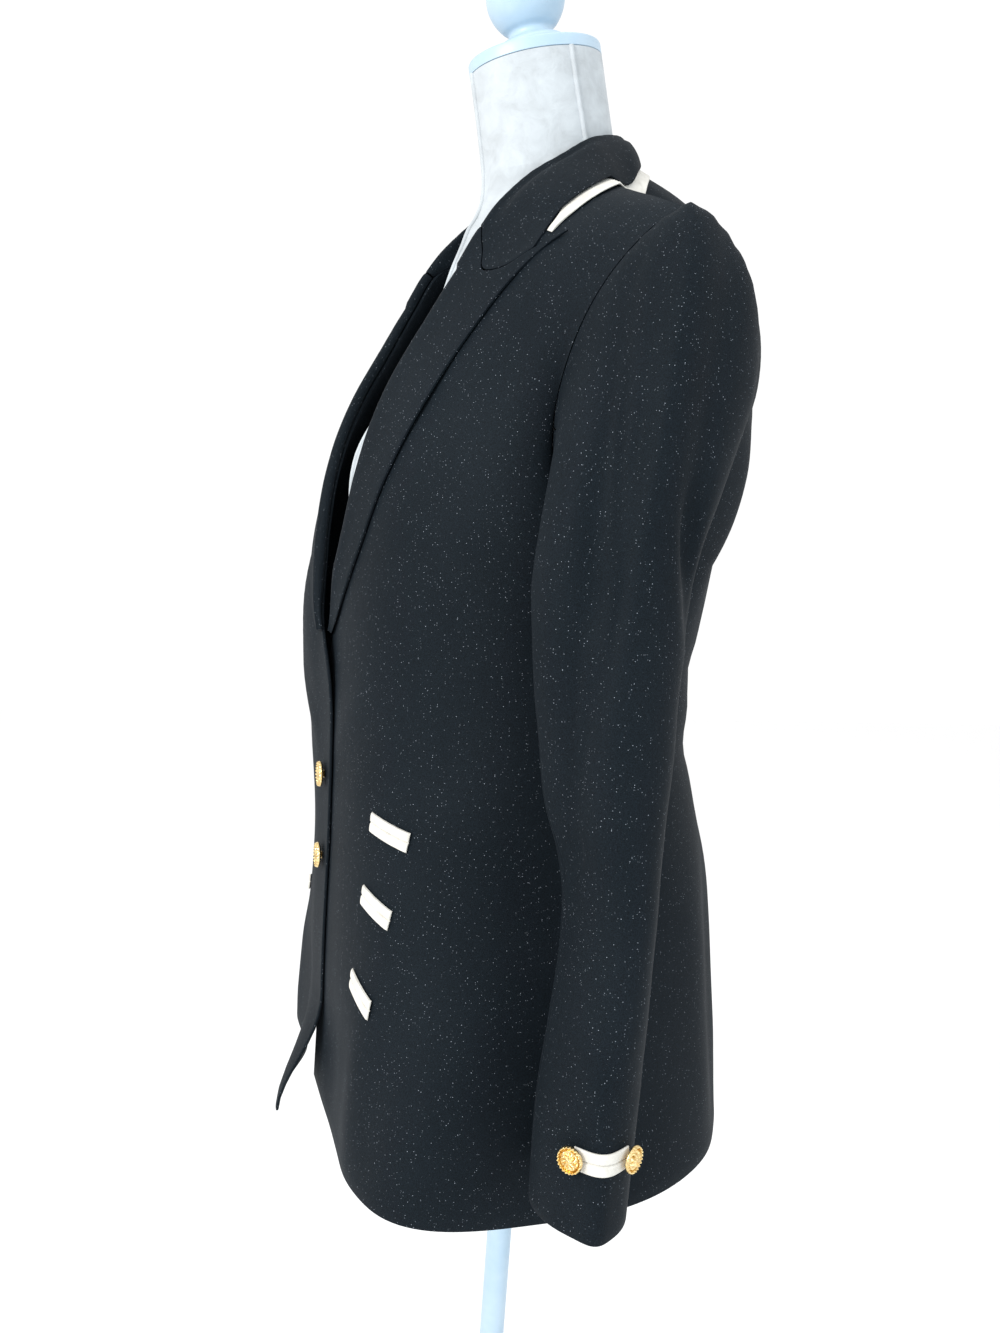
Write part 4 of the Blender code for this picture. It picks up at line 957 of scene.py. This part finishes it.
class Look:
    """Principled material whose textures are placed in metres in the garment's frame."""

    def __init__(self, name, colour, roughness, inputs=None):
        self.made = bpy.data.materials.new(name)
        self.made.use_nodes = True
        self.tree = self.made.node_tree
        self.shader = self.tree.nodes["Principled BSDF"]
        self.normal = None
        self.feed(self.shader, {"Base Color": colour, "Roughness": roughness, **(inputs or {})})
        self.place = self.node("TexCoord", {}).outputs["Object"]

    def feed(self, node, inputs):
        """Link sockets to a node's inputs, or set the inputs' values."""
        for key, value in inputs.items():
            if isinstance(value, bpy.types.NodeSocket):
                self.tree.links.new(value, node.inputs[key])
            else:
                node.inputs[key].default_value = (*value, 1) if isinstance(value, tuple) else value

    def node(self, kind, inputs, **settings):
        """New node of a kind with its settings and inputs."""
        node = self.tree.nodes.new("ShaderNode" + kind)
        for key, value in settings.items():
            setattr(node, key, value)
        self.feed(node, inputs)
        return node

    def noise(self, scale, detail=2.0, roughness=0.5, distortion=0.0):
        """Noise texture."""
        return self.node("TexNoise", {"Vector": self.place, "Scale": scale, "Detail": detail,
                                      "Roughness": roughness, "Distortion": distortion}).outputs["Fac"]

    def ramp(self, value, stops):
        """Colour ramp with stops of place and colour or grey."""
        node = self.node("ValToRGB", {"Fac": value})
        elements = node.color_ramp.elements
        while len(elements) < len(stops):
            elements.new(0.5)
        for element, (place, colour) in zip(elements, stops):
            element.position = place
            element.color = (*colour, 1) if isinstance(colour, tuple) else (colour, colour, colour, 1)
        return node.outputs["Color"]

    def mix(self, share, first, second, blend="MIX"):
        """Mix of two colours."""
        inputs = {0: share, 6: first, 7: second}
        return self.node("Mix", inputs, data_type="RGBA", blend_type=blend).outputs[2]

    def math(self, operation, *values):
        """Arithmetic on sockets and values."""
        return self.node("Math", dict(enumerate(values)), operation=operation).outputs[0]

    def tint(self, colour):
        """Give the surface its colour."""
        self.feed(self.shader, {"Base Color": colour})

    def bump(self, height, strength, distance):
        """Bump the surface, on top of the bump before."""
        inputs = {"Height": height, "Strength": strength, "Distance": distance}
        if self.normal is not None:
            inputs["Normal"] = self.normal
        self.normal = self.node("Bump", inputs).outputs["Normal"]
        self.feed(self.shader, {"Normal": self.normal})


def crepe_material():
    """Near-black crepe with a pebbled weave and painted glints: small bright flecks laid into its colour.
    """
    look = Look("crepe", (0.006, 0.01, 0.015), 0.7, {
        "Sheen Weight": 0.01, "Sheen Roughness": 0.45, "Specular IOR Level": 0.09,
        "Sheen Tint": (0.75, 0.85, 1.0)})
    pebble = look.noise(1500.0, 2.0, 0.6, 0.6)
    cloudy = look.ramp(look.noise(9.0, 3.0, 0.55),
                       ((0.3, (0.0036, 0.0066, 0.0096)), (0.7, (0.006, 0.0096, 0.0132))))
    shaded = look.mix(1.0, cloudy, look.ramp(pebble, ((0.35, 0.6), (0.65, 1.45))), "MULTIPLY")
    # Painted glints of the yarn: small bright flecks at random places, put into the colour instead of
    # coming from the light.
    cells = look.node("TexVoronoi", {"Vector": look.place, "Scale": 820.0})
    near = look.math("LESS_THAN", cells.outputs["Distance"], 0.21)
    chosen = look.node("SeparateColor", {"Color": cells.outputs["Color"]})
    painted_glint = look.math("MULTIPLY", near, look.math("GREATER_THAN", chosen.outputs[0], 0.62))
    strength = look.math("MULTIPLY", painted_glint, look.math("POWER", chosen.outputs[1], 3.0))
    # Lay the painted glint flecks, pale blue-grey, over the cloth's tone.
    look.tint(look.mix(strength, shaded, (0.26, 0.29, 0.33)))
    look.bump(pebble, 0.35, 0.0004)
    look.bump(look.noise(60.0, 3.0, 0.6), 0.1, 0.004)
    return look.made


def trim_material():
    """Ivory crepe-back satin of the welts, tabs and collar band."""
    look = Look("ivory trim", (0.8, 0.77, 0.71), 0.55, {"Sheen Weight": 0.1, "Specular IOR Level": 0.35})
    look.tint(look.ramp(look.noise(140.0, 3.0, 0.6),
                        ((0.3, (0.58, 0.555, 0.5)), (0.6, (0.69, 0.665, 0.61)))))
    look.bump(look.noise(1900.0, 2.0, 0.6, 0.4), 0.25, 0.0003)
    look.bump(look.noise(220.0), 0.15, 0.0012)
    return look.made


def gold_material():
    """Gold-toned metal, uneven in tone and shine."""
    look = Look("gold", (0.83, 0.62, 0.28), 0.26, {"Metallic": 1.0})
    look.tint(look.ramp(look.noise(500.0, 3.0, 0.6),
                        ((0.3, (0.62, 0.42, 0.15)), (0.62, (0.9, 0.7, 0.36)))))
    look.feed(look.shader, {"Roughness": look.math("MULTIPLY_ADD", look.noise(900.0), 0.25, 0.14)})
    return look.made


def velvet_material():
    """Crushed cream velvet of the dress form."""
    look = Look("cream velvet", (0.62, 0.66, 0.69), 0.75, {
        "Sheen Weight": 0.15, "Sheen Roughness": 0.35, "Specular IOR Level": 0.2})
    crushed = look.noise(60.0, 4.0, 0.62, 0.5)
    look.tint(look.ramp(crushed, ((0.32, (0.43, 0.455, 0.47)), (0.5, (0.48, 0.51, 0.53)),
                                  (0.68, (0.53, 0.565, 0.585)))))
    look.bump(look.noise(1800.0), 0.25, 0.0004)
    look.bump(crushed, 0.35, 0.0025)
    return look.made


def painted_material():
    """White satin paint darkened to a blue-grey tone as painted cool shade, with faint brush unevenness.
    """
    # The blue-grey base and ramp colours are painted cool shade on white paint; the noise only varies the
    # tone at random.
    look = Look("white paint", (0.66, 0.74, 0.79), 0.38, {"Specular IOR Level": 0.5})
    look.tint(look.ramp(look.noise(35.0, 3.0, 0.6),
                        ((0.35, (0.38, 0.51, 0.62)), (0.65, (0.44, 0.56, 0.66)))))
    look.bump(look.noise(120.0, 3.0, 0.6), 0.12, 0.0008)
    return look.made


def area_light(name, place, size, power, colour):
    """Soft square light aimed at the garment."""
    lamp = bpy.data.lights.new(name, "AREA")
    lamp.shape = "SQUARE"
    lamp.size = size
    lamp.energy = power
    lamp.color = colour
    made = placed(name, lamp)
    made.location = place
    made.rotation_euler = (Vector(LIGHT_TARGET) - Vector(place)).to_track_quat("-Z", "Y").to_euler()


def make_stage():
    """Pale floor, soft light and a white surround."""
    mesh = bpy.data.meshes.new("floor")
    corners = [(FLOOR_HALF * x, FLOOR_HALF * y, 0) for x, y in ((-1, -1), (1, -1), (1, 1), (-1, 1))]
    mesh.from_pydata(corners, [], [(0, 1, 2, 3)])
    mesh.materials.append(Look("floor", (0.95, 0.95, 0.95), 0.9).made)
    placed("floor", mesh)
    world = bpy.data.worlds.new("surround")
    bpy.context.scene.world = world
    world.use_nodes = True
    background = world.node_tree.nodes["Background"]
    background.inputs[0].default_value = (1.0, 1.0, 1.0, 1)
    background.inputs[1].default_value = SURROUND
    for light in LIGHTS:
        area_light(*light)
    bpy.context.scene.view_settings.view_transform = "Standard"


def make_camera():
    """Camera at the photograph's angle: the wearer's left side, slightly from the front."""
    turn, pitch, roll = np.radians(CAMERA_ANGLES)
    distance, rise, shift = CAMERA_PLACE
    right = np.array((np.cos(turn), np.sin(turn), 0))
    toward = np.array((np.sin(turn), -np.cos(turn), 0))
    place = toward * distance + right * shift + np.array((0, 0, HEM + rise))
    ahead = -toward * np.cos(pitch) - np.array((0, 0, np.sin(pitch)))
    up = np.cross(right, ahead)
    turned_up = up * np.cos(roll) - right * np.sin(roll)
    turned_right = right * np.cos(roll) + up * np.sin(roll)
    data = bpy.data.cameras.new("camera")
    data.sensor_width = SENSOR
    data.lens = LENS
    data.clip_start = 0.01
    camera = placed("camera", data)
    axes = np.stack((turned_right, turned_up, -ahead, place), 1)
    camera.matrix_world = Matrix([*axes.tolist(), (0, 0, 0, 1)])
    bpy.context.scene.camera = camera


crepe = crepe_material()
trim = trim_material()
make_fronts(crepe)
make_backs(crepe)
make_sleeves(crepe)
make_lapels(crepe)
make_collar(crepe, trim)
make_welts(trim)
make_cuff_tabs(trim)
make_buttons(gold_material())
make_form(velvet_material(), painted_material())
make_stage()
make_camera()
